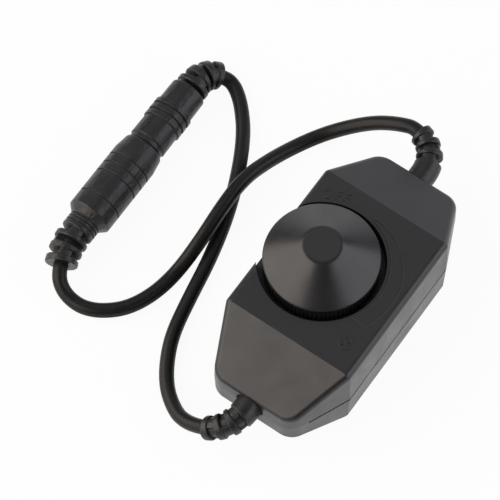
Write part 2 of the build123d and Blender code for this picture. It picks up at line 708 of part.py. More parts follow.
class BentPath:
    """A straight start and one round bend, along which a relief is built up run by run."""

    def __init__(self, start, outward, sideways, droop, straight, length, turn):
        down = Vector(0, 0, -1)
        towards = Vector(sideways) * cos(radians(droop)) + down * sin(radians(droop))
        self.root = Plane(start, x_dir=towards, z_dir=outward)
        self.straight = straight
        self.radius = (length - straight) / radians(turn)
        self.axis = Axis(self.root.from_local_coords(Vector(self.radius, 0, straight)), self.root.y_dir)
        self.tip = self.plane(length)

    def plane(self, distance):
        """Plane across the path, with X towards the inside of the bend."""
        if distance <= self.straight:
            return self.root.offset(distance)
        angle = (distance - self.straight) / self.radius
        across, along = self.root.x_dir, self.root.z_dir
        place = Vector(self.radius * (1 - cos(angle)), 0, self.straight + self.radius * sin(angle))
        return Plane(
            self.root.from_local_coords(place),
            x_dir=across * cos(angle) - along * sin(angle),
            z_dir=across * sin(angle) + along * cos(angle),
        )

    def carry(self, start, end):
        """Takes the section just drawn along the path from start to end."""
        if end <= self.straight:
            extrude(amount=end - start)
        else:
            revolve(axis=self.axis, revolution_arc=degrees((end - start) / self.radius))


def slotted_rings(path, start, slot_sides, lengths, diameters):
    """Rings along the path from start, with a pair of slots before each.

    A pair lies to the sides of the bend ("side") or over and under it ("top"), and two webs and a
    round core are left in it. The lengths are those of a slot, a ring and the last ring, and the
    diameters those of the first and the last ring.
    """
    slot, ring, last_ring = lengths
    first_diameter, last_diameter = diameters
    step = (last_diameter - first_diameter) / (len(slot_sides) - 1)
    with BuildPart(mode=Mode.PRIVATE) as rings:
        for index in range(len(slot_sides)):
            ring_start = start + slot + index * (slot + ring)
            ring_end = ring_start + (last_ring if index == len(slot_sides) - 1 else ring)
            with BuildSketch(path.plane(ring_start)):
                Circle((first_diameter + index * step) / 2)
            path.carry(ring_start, ring_end)
            ends = rings.faces(Select.LAST).filter_by(GeomType.PLANE)
            fillet([edge for face in ends for edge in face.edges()], RING_ROUND)
        for index, sides in enumerate(slot_sides):
            slot_start = start + index * (slot + ring)
            web_radius = (first_diameter + index * step) / 2 - WEB_INSET
            with BuildSketch(path.plane(slot_start)):
                Circle(web_radius)
                if sides == "side":
                    Rectangle(WEB_WIDTH, 2 * web_radius, mode=Mode.INTERSECT)
                else:
                    Rectangle(2 * web_radius, WEB_WIDTH, mode=Mode.INTERSECT)
                Circle(CORE_RADIUS)
            path.carry(slot_start, slot_start + slot)
    return rings.part


def slotted_length(slot_count, lengths):
    """Length of slotted_rings with the same lengths."""
    slot, ring, last_ring = lengths
    return slot_count * slot + (slot_count - 1) * ring + last_ring


HOUSING_SLOTS = ("side", "top", "side")
HOUSING_LENGTHS = (RELIEF_SLOT, RELIEF_RING, RELIEF_TIP_RING)


def housing_path(end, base, straight, turn, droop):
    """Path of the relief in the wall at one end of the housing, +1 or -1."""
    start = (end * HOUSING_LENGTH / 2, RELIEF_Y, RELIEF_Z)
    length = base + slotted_length(len(HOUSING_SLOTS), HOUSING_LENGTHS)
    return BentPath(start, (end, 0, 0), (0, 1, 0), droop, straight, length, turn)


def housing_relief(path, base):
    """Flange inside the wall, plain neck through it and base out of it, then the slotted rings."""
    with BuildPart(mode=Mode.PRIVATE) as relief:
        flange_back = path.plane(-WALL - FLANGE_GAP - FLANGE)
        with BuildSketch(Plane(flange_back.origin, x_dir=(0, 1, 0), z_dir=flange_back.z_dir)):
            Rectangle(FLANGE_WIDTH, FLANGE_HEIGHT)
        extrude(amount=FLANGE)
        with BuildSketch(path.plane(-WALL - FLANGE_GAP)):
            Circle(RELIEF_BASE_DIAMETER / 2)
        extrude(amount=WALL + FLANGE_GAP + path.straight)
        with BuildSketch(path.plane(path.straight)):
            Circle(RELIEF_BASE_DIAMETER / 2)
        path.carry(path.straight, base)
        base_end = relief.faces().sort_by_distance(path.plane(base).origin)[0]
        fillet(base_end.edges(), RING_ROUND)
        diameters = (RELIEF_RING_DIAMETER, RELIEF_TIP_DIAMETER)
        add(slotted_rings(path, base, HOUSING_SLOTS, HOUSING_LENGTHS, diameters))
    return relief.part


input_path = housing_path(1, INPUT_BASE, INPUT_STRAIGHT, INPUT_BEND, INPUT_DROOP)
with BuildPart() as input_strain_relief:
    add(housing_relief(input_path, INPUT_BASE))
save(input_strain_relief, "input_strain_relief")

output_path = housing_path(-1, OUTPUT_BASE, OUTPUT_STRAIGHT, OUTPUT_BEND, OUTPUT_DROOP)
with BuildPart() as output_strain_relief:
    add(housing_relief(output_path, OUTPUT_BASE))
save(output_strain_relief, "output_strain_relief")

# Socket and plug, turned about one axis along X
CONNECTOR_PLANE = Plane((0, CONNECTOR_Y, CONNECTOR_Z), x_dir=(1, 0, 0), z_dir=(0, -1, 0))
CONNECTOR_AXIS = Axis((0, CONNECTOR_Y, CONNECTOR_Z), (1, 0, 0))


def tube_section(start, end, inner_radius, outer_radius):
    """Half section of a tube along the connectors' axis, or of a rod if inner_radius is 0."""
    with BuildSketch(mode=Mode.PRIVATE) as section:
        with Locations((start, inner_radius)):
            Rectangle(end - start, outer_radius - inner_radius, align=(Align.MIN, Align.MIN))
    return section.sketch


def across_connector(middle, width, radius, depth):
    """Half section of a band round a connector, from depth inside a radius to as far outside it."""
    return tube_section(middle - width / 2, middle + width / 2, radius - depth, radius + depth)


SOCKET_REAR_X = SOCKET_FACE_X - SOCKET_LENGTH
NECK_X = SOCKET_REAR_X - SOCKET_SHOULDER
SOCKET_SLOTS_X = NECK_X - SOCKET_NECK
LINER_END_X = SOCKET_FACE_X - LINER_DEPTH
SOCKET_BORE_X = LINER_END_X - LINER_END
SOCKET_SLOTS = ("side", "top", "side")
SOCKET_LENGTHS = (RELIEF_SLOT, RELIEF_RING, RELIEF_TIP_RING)
socket_path = BentPath(
    (SOCKET_SLOTS_X, CONNECTOR_Y, CONNECTOR_Z),
    (-1, 0, 0),
    (0, -1, 0),
    SOCKET_DROOP,
    0,
    slotted_length(len(SOCKET_SLOTS), SOCKET_LENGTHS),
    SOCKET_BEND,
)

with BuildPart() as socket_body:
    with BuildSketch(CONNECTOR_PLANE) as socket_section:
        with BuildLine():
            Polyline(
                (SOCKET_FACE_X, LINER_DIAMETER / 2),
                (SOCKET_FACE_X, SOCKET_FACE_DIAMETER / 2),
                (SOCKET_FACE_X - SOCKET_NOSE, SOCKET_DIAMETER / 2),
                (SOCKET_REAR_X, SOCKET_DIAMETER / 2),
                (NECK_X, SOCKET_NECK_DIAMETER / 2),
                (SOCKET_SLOTS_X, SOCKET_NECK_DIAMETER / 2),
                (SOCKET_SLOTS_X, 0),
                (SOCKET_BORE_X, 0),
                (SOCKET_BORE_X, LINER_DIAMETER / 2),
                close=True,
            )
        make_face()
        outside = socket_section.vertices().filter_by(lambda v: v.Y > LINER_DIAMETER / 2 + 0.01)
        fillet(outside, CONNECTOR_ROUND)
        neck_end = socket_section.vertices().filter_by(lambda v: v.Y > 0.01).sort_by(Axis.X)[0]
        fillet(neck_end, RING_ROUND)
    revolve(axis=CONNECTOR_AXIS)
    with BuildSketch(CONNECTOR_PLANE):
        for distance in SOCKET_GROOVES:
            add(across_connector(SOCKET_FACE_X - distance, GROOVE_WIDTH, SOCKET_DIAMETER / 2, GROOVE_DEPTH))
        for index in range(NECK_GROOVES):
            groove_x = NECK_X - (index + 0.5) * NECK_GROOVE_PITCH
            add(across_connector(groove_x, NECK_GROOVE_WIDTH, SOCKET_NECK_DIAMETER / 2, GROOVE_DEPTH))
    revolve(axis=CONNECTOR_AXIS, mode=Mode.SUBTRACT)
    socket_diameters = (SOCKET_RING_DIAMETER, SOCKET_TIP_DIAMETER)
    add(slotted_rings(socket_path, 0, SOCKET_SLOTS, SOCKET_LENGTHS, socket_diameters))
save(socket_body, "socket_body")

with BuildPart() as socket_liner:
    with BuildSketch(CONNECTOR_PLANE):
        add(tube_section(SOCKET_BORE_X, SOCKET_FACE_X, LINER_BORE / 2, LINER_DIAMETER / 2 - CONTACT_FIT))
        add(tube_section(SOCKET_BORE_X, LINER_END_X, PIN_DIAMETER / 2 + CONTACT_FIT, LINER_BORE / 2))
    revolve(axis=CONNECTOR_AXIS)
save(socket_liner, "socket_liner")

with BuildPart() as socket_pin:
    with BuildSketch(CONNECTOR_PLANE):
        add(tube_section(SOCKET_BORE_X, LINER_END_X + PIN_REACH, 0, PIN_DIAMETER / 2))
    revolve(axis=CONNECTOR_AXIS)
    fillet(socket_pin.edges().sort_by(Axis.X)[-1], PIN_ROUND)
save(socket_pin, "socket_pin")

with BuildPart() as socket_spring:
    with BuildSketch(CONNECTOR_PLANE):
        spring_radius = BARREL_DIAMETER / 2 + CONTACT_GAP
        add(tube_section(LINER_END_X, LINER_END_X + SPRING_LENGTH, spring_radius, spring_radius + SPRING))
    revolve(axis=CONNECTOR_AXIS, revolution_arc=SPRING_ARC)
save(socket_spring, "socket_spring")

PLUG_REAR_X = PLUG_FACE_X + PLUG_LENGTH
BARREL_X = PLUG_FACE_X - BARREL_REACH
BARREL_END_X = PLUG_FACE_X + BARREL_ROOT
PLUG_SLOTS = ("top", "side", "top", "side")
PLUG_LENGTHS = (PLUG_SLOT, PLUG_RING, PLUG_TIP_RING)
plug_path = BentPath(
    (PLUG_REAR_X, CONNECTOR_Y, CONNECTOR_Z),
    (1, 0, 0),
    (0, -1, 0),
    PLUG_DROOP,
    PLUG_SLOT + PLUG_RING,
    slotted_length(len(PLUG_SLOTS), PLUG_LENGTHS),
    PLUG_BEND,
)

with BuildPart() as plug_body:
    with BuildSketch(CONNECTOR_PLANE) as plug_section:
        with BuildLine():
            Polyline(
                (PLUG_FACE_X, BARREL_DIAMETER / 2 + CONTACT_FIT),
                (BARREL_END_X, BARREL_DIAMETER / 2 + CONTACT_FIT),
                (BARREL_END_X, 0),
                (PLUG_REAR_X, 0),
                (PLUG_REAR_X, PLUG_REAR_DIAMETER / 2),
                (PLUG_FACE_X + PLUG_COLLAR, PLUG_DIAMETER / 2),
                (PLUG_FACE_X + PLUG_COLLAR, PLUG_COLLAR_DIAMETER / 2),
                (PLUG_FACE_X, PLUG_COLLAR_DIAMETER / 2),
                close=True,
            )
        make_face()
        rear = plug_section.vertices().filter_by(lambda v: v.Y > 0.01).sort_by(Axis.X)[-1]
        fillet(rear, CONNECTOR_ROUND)
        fillet(plug_section.vertices().sort_by(Axis.Y)[-1], COLLAR_ROUND)
    revolve(axis=CONNECTOR_AXIS)
    with BuildSketch(CONNECTOR_PLANE):
        for index in range(PLUG_RIB_COUNT):
            rib_x = PLUG_FACE_X + PLUG_RIB_START + index * PLUG_RIB_PITCH
            add(across_connector(rib_x, PLUG_RIB, PLUG_DIAMETER / 2, PLUG_RIB_RISE))
    revolve(axis=CONNECTOR_AXIS)
    plug_diameters = (PLUG_RING_DIAMETER, PLUG_TIP_DIAMETER)
    add(slotted_rings(plug_path, 0, PLUG_SLOTS, PLUG_LENGTHS, plug_diameters))
save(plug_body, "plug_body")

INSULATOR_RADIUS = BARREL_DIAMETER / 2 - BARREL_WALL - CONTACT_FIT
CONTACT_BORE_RADIUS = PIN_DIAMETER / 2 + PIN_CLEARANCE
CONTACT_RADIUS = CONTACT_BORE_RADIUS + CONTACT_WALL

with BuildPart() as plug_barrel:
    with BuildSketch(CONNECTOR_PLANE):
        outer_radius = BARREL_DIAMETER / 2
        add(tube_section(BARREL_X, BARREL_END_X, outer_radius - BARREL_WALL, outer_radius))
    revolve(axis=CONNECTOR_AXIS)
save(plug_barrel, "plug_barrel")

with BuildPart() as plug_insulator:
    with BuildSketch(CONNECTOR_PLANE):
        insulator_x = BARREL_X + INSULATOR_SETBACK
        add(tube_section(insulator_x, BARREL_END_X, CONTACT_RADIUS + CONTACT_FIT, INSULATOR_RADIUS))
    revolve(axis=CONNECTOR_AXIS)
save(plug_insulator, "plug_insulator")

with BuildPart() as plug_contact:
    with BuildSketch(CONNECTOR_PLANE):
        add(tube_section(BARREL_X + CONTACT_SETBACK, BARREL_END_X, CONTACT_BORE_RADIUS, CONTACT_RADIUS))
    revolve(axis=CONNECTOR_AXIS)
save(plug_contact, "plug_contact")

# Leads


def round_tube(points, radii, diameter):
    """Round tube through points, with its corners rounded to the radii."""
    with BuildPart(mode=Mode.PRIVATE) as tube:
        with BuildLine() as line:
            FilletPolyline(*points, radius=radii)
        with BuildSketch(Plane(points[0], z_dir=points[1] - points[0])):
            Circle(diameter / 2)
        sweep()
    length = sum(edge.length for edge in line.edges())
    section = pi * diameter**2 / 4
    print(f"tube {length:.1f} mm long, {tube.part.volume / section:.1f} mm by its volume")
    return tube.part


def inside_leads(end):
    """The two cores at one end of the housing, from the relief's flange to their pads."""
    flange_x = HOUSING_LENGTH / 2 - WALL - FLANGE_GAP - FLANGE
    lead_z = BOARD_TOP_Z + LEAD_DIAMETER / 2
    with BuildPart(mode=Mode.PRIVATE) as leads:
        for side in (-1, 1):
            lead_y = RELIEF_Y + side * LEAD_SPACING / 2
            pad_y = side * PAD_SPACING / 2
            points = [
                Vector(end * flange_x, lead_y, RELIEF_Z),
                Vector(end * (flange_x - LEAD_DROP), lead_y, RELIEF_Z),
                Vector(end * (PAD_X + 2 * LEAD_DROP), pad_y, lead_z + LEAD_ARCH),
                Vector(end * (PAD_X + LEAD_DROP), pad_y, lead_z),
                Vector(end * PAD_X, pad_y, lead_z),
            ]
            add(round_tube(points, [LEAD_BEND_RADIUS] * 3, LEAD_DIAMETER))
    return leads.part


with BuildPart() as input_leads:
    add(inside_leads(1))
save(input_leads, "input_leads")

with BuildPart() as output_leads:
    add(inside_leads(-1))
save(output_leads, "output_leads")


def lay_cord(first_tip, first_exit, points, last_exit, last_tip):
    """Cord from one relief's tip to another's, by way of points on the surface."""
    route = [
        first_tip.origin,
        first_tip.origin + first_tip.z_dir * first_exit,
        *[Vector(point) for point in points],
        last_tip.origin + last_tip.z_dir * last_exit,
        last_tip.origin,
    ]
    runs = [after - before for before, after in zip(route, route[1:])]
    radii = []
    for before, after in zip(runs, runs[1:]):
        half_turn = radians(before.get_angle(after)) / 2
        radii.append(CORNER_SHARE * min(before.length, after.length) / tan(half_turn))
    print("corner radii", [round(radius, 1) for radius in radii])
    return round_tube(route, radii, CORD_DIAMETER)


with BuildPart() as input_cord:
    add(lay_cord(socket_path.tip, SOCKET_CORD_EXIT, INPUT_CORD_POINTS, INPUT_CORD_EXIT, input_path.tip))
save(input_cord, "input_cord")

with BuildPart() as output_cord:
    add(lay_cord(plug_path.tip, PLUG_CORD_EXIT, OUTPUT_CORD_POINTS, OUTPUT_CORD_EXIT, output_path.tip))
save(output_cord, "output_cord")
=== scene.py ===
# %% [markdown]
# # An in-line LED dimmer
# The real object is a black box that fits in the hand, with a turning dial in its top and a short lead
# at each end. Every rigid piece comes from the CAD frame at its true size. This lesson adds what the
# frame leaves plain: the two leads as smooth curves, the raised marks round the dial, the finish of each
# plastic and metal, and the light and camera of the photograph.

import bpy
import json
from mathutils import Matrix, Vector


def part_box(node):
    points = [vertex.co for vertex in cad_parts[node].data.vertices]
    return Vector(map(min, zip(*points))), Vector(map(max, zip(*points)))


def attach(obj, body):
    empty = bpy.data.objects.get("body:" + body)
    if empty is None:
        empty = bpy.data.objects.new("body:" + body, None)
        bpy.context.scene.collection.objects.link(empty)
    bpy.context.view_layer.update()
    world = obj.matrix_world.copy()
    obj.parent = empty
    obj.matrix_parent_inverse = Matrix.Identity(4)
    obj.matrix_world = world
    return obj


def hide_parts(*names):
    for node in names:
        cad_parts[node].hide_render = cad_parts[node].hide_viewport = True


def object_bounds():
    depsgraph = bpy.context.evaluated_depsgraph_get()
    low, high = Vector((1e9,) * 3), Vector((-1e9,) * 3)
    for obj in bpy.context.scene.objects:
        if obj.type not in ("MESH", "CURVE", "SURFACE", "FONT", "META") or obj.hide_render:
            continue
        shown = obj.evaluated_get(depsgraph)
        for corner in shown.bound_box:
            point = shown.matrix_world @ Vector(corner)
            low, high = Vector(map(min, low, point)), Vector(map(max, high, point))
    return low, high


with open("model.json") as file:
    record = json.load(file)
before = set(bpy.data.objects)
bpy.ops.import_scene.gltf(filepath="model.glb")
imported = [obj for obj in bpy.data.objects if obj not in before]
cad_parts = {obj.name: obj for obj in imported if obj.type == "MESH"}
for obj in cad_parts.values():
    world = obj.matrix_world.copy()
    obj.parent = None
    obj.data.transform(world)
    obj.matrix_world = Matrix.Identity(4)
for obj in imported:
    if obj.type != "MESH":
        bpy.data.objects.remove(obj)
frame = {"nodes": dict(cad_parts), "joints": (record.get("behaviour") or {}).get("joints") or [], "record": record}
cad_low, cad_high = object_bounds()
print("CAD box in millimetres:", [round(1000 * side, 1) for side in cad_high - cad_low])

# %% Tools for the rest of the lesson
import json
from math import cos, pi, radians, sin

import bmesh
import bpy
from mathutils import Vector

MM = 0.001
scene = bpy.context.scene
scene.view_settings.view_transform = "Standard"


def show(data, name):
    """Puts a mesh, curve, camera or light into the scene as an object."""
    thing = bpy.data.objects.new(name, data)
    scene.collection.objects.link(thing)
    return thing


# %% [markdown]
# ## Camera
# The photograph was taken from far away with a long lens, so its lines hardly converge. The camera is set
# by two angles, a distance and the number of pixels that a metre covers at the origin, because those are
# what can be measured in the picture. The lens length follows from them. The origin of the frame lies
# right of the picture's middle and below it, so the camera slides by that much, with no lens shift.

# %% Camera at the photograph's angle
PICTURE_PIXELS = 500
CAMERA_AZIMUTH = radians(-55.05)
CAMERA_ELEVATION = radians(65.29)
CAMERA_DISTANCE = 0.740
PIXELS_PER_METRE = 4319.0
ORIGIN_RIGHT = 0.01972
ORIGIN_UP = -0.01451

towards_camera = Vector(
    (
        sin(CAMERA_AZIMUTH) * cos(CAMERA_ELEVATION),
        -cos(CAMERA_AZIMUTH) * cos(CAMERA_ELEVATION),
        sin(CAMERA_ELEVATION),
    )
)
picture_right = Vector((cos(CAMERA_AZIMUTH), sin(CAMERA_AZIMUTH), 0))
picture_up = towards_camera.cross(picture_right)
lens = bpy.data.cameras.new("studio_camera")
lens.lens = lens.sensor_width * PIXELS_PER_METRE * CAMERA_DISTANCE / PICTURE_PIXELS
camera = show(lens, "studio_camera")
camera.location = towards_camera * CAMERA_DISTANCE - picture_right * ORIGIN_RIGHT - picture_up * ORIGIN_UP
camera.rotation_euler = (-towards_camera).to_track_quat("-Z", "Y").to_euler()
scene.camera = camera
print(f"lens of {lens.lens:.0f} mm at {camera.location.length:.2f} m")

# %% [markdown]
# ## Leads
# Each lead is a soft round cable, moulded into a slotted strain relief at both ends. It lies on the table
# under its own weight, and one lead passes over the other. A NURBS curve suits it: its control points are
# the corners of the CAD tube's route, and the curve rounds them without any kink. The order and the
# endpoint switch are set after the points are in, since they only take effect on a curve that has them.
# Blender counts a point's radius in the curve's box and multiplies the bevel by it, so the radius holds the
# cable's true size and the bevel is 1.

# %% Routes of the two leads, in metres
LEAD_DIAMETER = 0.0035
LEAD_ROUNDNESS = 8
LEAD_STEPS = 12
INPUT_LENGTH = 0.114
OUTPUT_LENGTH = 0.103
INPUT_ROUTE = (
    (-0.02825, 0.05768, 0.00517),
    (-0.03063, 0.05665, 0.00491),
    (-0.0324, 0.0544, 0.0032),
    (-0.0331, 0.0513, 0.0020),
    (-0.0329, 0.0476, 0.0018),
    (-0.0309, 0.0435, 0.0018),
    (-0.0269, 0.0394, 0.0018),
    (-0.0206, 0.0366, 0.0018),
    (-0.0130, 0.0354, 0.0019),
    (-0.0045, 0.0347, 0.0054),
    (0.0045, 0.0353, 0.0063),
    (0.0135, 0.0355, 0.0062),
    (0.0218, 0.0341, 0.0036),
    (0.0295, 0.0315, 0.0018),
    (0.0356, 0.0278, 0.0023),
    (0.0400, 0.0230, 0.0047),
    (0.0428, 0.0183, 0.0074),
    (0.0442, 0.0146, 0.0091),
    (0.0450, 0.0115, 0.0103),
    (0.04557, 0.00900, 0.01085),
    (0.04496, 0.00689, 0.01096),
)
OUTPUT_ROUTE = (
    (0.03355, 0.05662, 0.00358),
    (0.03440, 0.05543, 0.00271),
    (0.0346, 0.0537, 0.0021),
    (0.0336, 0.0514, 0.0018),
    (0.0306, 0.0479, 0.0018),
    (0.0250, 0.0433, 0.0018),
    (0.0160, 0.0385, 0.0018),
    (0.0055, 0.0343, 0.0018),
    (-0.0060, 0.0312, 0.0018),
    (-0.0175, 0.0292, 0.0018),
    (-0.0266, 0.0273, 0.0018),
    (-0.0334, 0.0241, 0.0018),
    (-0.0384, 0.0204, 0.0020),
    (-0.0415, 0.0163, 0.0027),
    (-0.0431, 0.0130, 0.0039),
    (-0.04335, 0.00872, 0.00593),
    (-0.04276, 0.00591, 0.00775),
)


def smooth_lead(name, route):
    """Round cable along a route, as one NURBS curve with closed ends."""
    curve = bpy.data.curves.new(name, "CURVE")
    curve.dimensions = "3D"
    curve.bevel_depth = 1.0
    curve.bevel_resolution = LEAD_ROUNDNESS
    curve.resolution_u = LEAD_STEPS
    curve.use_fill_caps = True
    spline = curve.splines.new("NURBS")
    spline.points.add(len(route) - 1)
    for point, corner in zip(spline.points, route):
        point.co = (*corner, 1)
        point.radius = LEAD_DIAMETER / 2
    spline.order_u = 3
    spline.use_endpoint_u = True
    return show(curve, name)


# %% Lay the leads
SOCKET_PIECES = ("socket_body", "socket_liner", "socket_pin", "socket_spring")
PLUG_PIECES = ("plug_body", "plug_barrel", "plug_insulator", "plug_contact")
leads = []
for name, route, length, pieces in (
    ("input_lead", INPUT_ROUTE, INPUT_LENGTH, SOCKET_PIECES),
    ("output_lead", OUTPUT_ROUTE, OUTPUT_LENGTH, PLUG_PIECES),
):
    lead = smooth_lead(name, route)
    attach(lead, "housing")
    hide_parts(name.replace("lead", "cord"))
    leads.append(lead)
    print(name, "drawn from", len(route), "points")

# %% [markdown]
# ## Raised marks
# The mould has three marks cut into it, so they stand up from the top as thin lines of the same plastic:
# the word OFF where the dial's turn begins, a wedge that widens round the dial, and a lamp sign past its
# wide end. A text object would bring a typeface, but moulded letters like these are plain strokes, so one
# function draws every mark as a line with sloping flanks, closed all round and sunk a little into the top.

# %% Section of a raised line
LINE_FOOT = 0.56 * MM
LINE_CROWN = 0.36 * MM
LINE_HEIGHT = 0.14 * MM
LINE_SUNK = 0.04 * MM
LINE_STEP = 0.01 * MM
MITRE_LIMIT = 1.6
top_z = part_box("top_cover")[1].z
dial = Vector(frame["joints"][0]["pos_m"])
print(f"top at {top_z / MM:.1f} mm, dial's axis at {dial.x / MM:.1f}, {dial.y / MM:.1f} mm")


def side_of(before, after):
    """Sideways step at a corner of a line, longer where the corner is sharp, and not past the limit."""
    across = before.orthogonal() + after.orthogonal()
    across.normalize()
    return across / max(across.dot(after.orthogonal()), 1 / MITRE_LIMIT)


def raised_line(marks, route, closed=False, under=0):
    """Adds one raised line along a route of level points, a step lower for each line that it runs under."""
    crown = LINE_HEIGHT - under * LINE_STEP
    runs = [(b - a).normalized() for a, b in zip(route, route[1:] + route[:1])]
    rings = []
    for i, point in enumerate(route):
        before = runs[i - 1] if closed or i > 0 else runs[i]
        after = runs[i] if closed or i < len(route) - 1 else runs[i - 1]
        side = side_of(before, after)
        section = (
            (LINE_FOOT / 2, -LINE_SUNK),
            (LINE_CROWN / 2, crown),
            (-LINE_CROWN / 2, crown),
            (-LINE_FOOT / 2, -LINE_SUNK),
        )
        rings.append([marks.verts.new((*(point + side * reach), top_z + rise)) for reach, rise in section])
    for here, there in zip(rings, rings[1:] + (rings[:1] if closed else [])):
        for k in range(4):
            marks.faces.new((here[k], here[k - 1], there[k - 1], there[k]))
    if not closed:
        marks.faces.new(rings[0])
        marks.faces.new(reversed(rings[-1]))


def finish_marks(marks, name):
    """Turns the marks' mesh into a piece that belongs to the housing."""
    bmesh.ops.recalc_face_normals(marks, faces=marks.faces)
    mesh = bpy.data.meshes.new(name)
    marks.to_mesh(mesh)
    marks.free()
    piece = show(mesh, name)
    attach(piece, "housing")
    print(name, "has", len(mesh.polygons), "faces")
    return piece


# %% [markdown]
# The word follows the dial's rim, so each letter stands on a circle about the dial's axis and is turned to
# face outwards. An O is an ellipse, and an F is a bent stroke with a short bar.

# %% The word OFF
LETTER_HEIGHT = 2.1 * MM
LETTER_WIDTH = {"O": 1.75 * MM, "F": 1.30 * MM}
LETTER_FOOT_RADIUS = 15.9 * MM
LETTER_TURNS = ((29.6, "O"), (20.4, "F"), (13.4, "F"))
ELLIPSE_POINTS = 24


def letter_strokes(letter):
    """Strokes of a letter as (points, closed), with points as shares of its width and height."""
    if letter == "O":
        turns = [2 * pi * i / ELLIPSE_POINTS for i in range(ELLIPSE_POINTS)]
        return [([(0.5 * sin(turn), 0.5 + 0.5 * cos(turn)) for turn in turns], True)]
    return [([(-0.5, 0), (-0.5, 1), (0.5, 1)], False), ([(-0.5, 0.52), (0.32, 0.52)], False)]


word = bmesh.new()
for turn, letter in LETTER_TURNS:
    outward = Vector((cos(radians(turn)), sin(radians(turn))))
    along = Vector((outward.y, -outward.x))
    foot = dial.xy + outward * LETTER_FOOT_RADIUS
    wide = along * LETTER_WIDTH[letter]
    for under, (shares, closed) in enumerate(letter_strokes(letter)):
        stroke = [foot + wide * u + outward * (v * LETTER_HEIGHT) for u, v in shares]
        raised_line(word, stroke, closed, under)
off_word = finish_marks(word, "off_word")

# %% [markdown]
# The wedge runs clockwise round the dial. Its inner line keeps close to the well, and its outer line swings
# out to the edge of the top and stays there. A slanted line closes the wedge at its wide end.

# %% The wedge
WEDGE_INNER_RADIUS = 15.7 * MM
WEDGE_OUTER_RADIUS = 19.0 * MM
WEDGE_TIP = 0.5 * MM
WEDGE_START = -14.0
WEDGE_FULL = -84.0
WEDGE_OUTER_END = -114.0
WEDGE_INNER_END = -118.5
WEDGE_STEPS = 40


def on_circle(radius, turn):
    """Point on a level circle about the dial's axis, at a turn in degrees."""
    return dial.xy + Vector((radius * cos(radians(turn)), radius * sin(radians(turn))))


def wedge_width(turn):
    """Width of the wedge at a turn, growing from its tip until it is full."""
    share = min(1.0, (turn - WEDGE_START) / (WEDGE_FULL - WEDGE_START))
    return WEDGE_TIP + (WEDGE_OUTER_RADIUS - WEDGE_INNER_RADIUS - WEDGE_TIP) * sin(share * pi / 2)


def turns_to(end):
    """Even turns in degrees from the wedge's start to an end."""
    return [WEDGE_START + (end - WEDGE_START) * i / WEDGE_STEPS for i in range(WEDGE_STEPS + 1)]


outer = [on_circle(WEDGE_INNER_RADIUS + wedge_width(turn), turn) for turn in turns_to(WEDGE_OUTER_END)]
inner = [on_circle(WEDGE_INNER_RADIUS, turn) for turn in reversed(turns_to(WEDGE_INNER_END))]
wedge = bmesh.new()
raised_line(wedge, outer + inner, closed=True)
level_wedge = finish_marks(wedge, "level_wedge")

# %% The lamp sign: a circle with a cross
LAMP_PLACE = Vector((-13.4, -11.3)) * MM
LAMP_RADIUS = 1.55 * MM
LAMP_POINTS = 32
sign = bmesh.new()
around = [2 * pi * i / LAMP_POINTS for i in range(LAMP_POINTS)]
raised_line(sign, [LAMP_PLACE + LAMP_RADIUS * Vector((cos(a), sin(a))) for a in around], closed=True)
for under, turn in ((1, 45), (2, 135)):
    arm = LAMP_RADIUS * Vector((cos(radians(turn)), sin(radians(turn))))
    raised_line(sign, [LAMP_PLACE - arm, LAMP_PLACE + arm], under=under)
lamp_sign = finish_marks(sign, "lamp_sign")

# %% [markdown]
# ## Effects that several finishes share
# Almost every surface here is dark moulded plastic, and what tells one from another is how rough it is, how
# fine its grain is and how its edges catch the light. Each effect is a node group, built once and placed
# in each finish with that finish's own values. The groups put out only what varies over the surface. All of
# them work in millimetres of the object's own space, so the grain stays in place when the dial turns.


# %% Helpers for node trees
def place(tree, kind, **settings):
    """New node. A setting whose name is a socket's sets that socket, and any other sets the node itself."""
    node = tree.nodes.new(kind)
    for label, value in settings.items():
        socket = node.inputs.get(label.replace("_", " "))
        if socket is None:
            setattr(node, label, value)
        else:
            socket.default_value = value
    return node


def start_group(name, inputs, outputs):
    """New shader node group, with (name, kind, default) sockets going in and (name, kind) coming out."""
    group = bpy.data.node_groups.new(name, "ShaderNodeTree")
    for label, kind, default in inputs:
        socket = group.interface.new_socket(label, in_out="INPUT", socket_type=f"NodeSocket{kind}")
        socket.default_value = default
    for label, kind in outputs:
        group.interface.new_socket(label, in_out="OUTPUT", socket_type=f"NodeSocket{kind}")
    return group, group.nodes.new("NodeGroupInput"), group.nodes.new("NodeGroupOutput")


def use_group(tree, group, **values):
    """Places a node group in a finish, with this finish's values on its sockets."""
    node = tree.nodes.new("ShaderNodeGroup")
    node.node_tree = group
    for label, value in values.items():
        node.inputs[label.replace("_", " ")].default_value = value
    return node


def millimetres(tree):
    """Position on the object, in millimetres."""
    where = place(tree, "ShaderNodeTexCoord")
    scaled = place(tree, "ShaderNodeVectorMath", operation="SCALE", Scale=1 / MM)
    tree.links.new(where.outputs["Object"], scaled.inputs["Vector"])
    return scaled.outputs["Vector"]


def change(tree, value, low, high, base=None):
    """Maps a 0 to 1 value to the range from low to high, and adds it to a base socket if there is one."""
    mapped = place(tree, "ShaderNodeMapRange", To_Min=low, To_Max=high)
    tree.links.new(value, mapped.inputs["Value"])
    if base is None:
        return mapped.outputs["Result"]
    total = place(tree, "ShaderNodeMath", operation="ADD")
    tree.links.new(mapped.outputs["Result"], total.inputs[0])
    tree.links.new(base, total.inputs[1])
    return total.outputs["Value"]


# %% [markdown]
# **Moulded skin.** A steel mould is spark-eroded to a fine grain, which the plastic copies, and the flow of
# the melt leaves slow, faint changes of shine. Fine noise gives the grain's height, and slow noise shifts
# the colour and the roughness a little. A piece that was pulled out of a long mould has its grain drawn into
# streaks, so the coordinates can be squeezed along an axis.

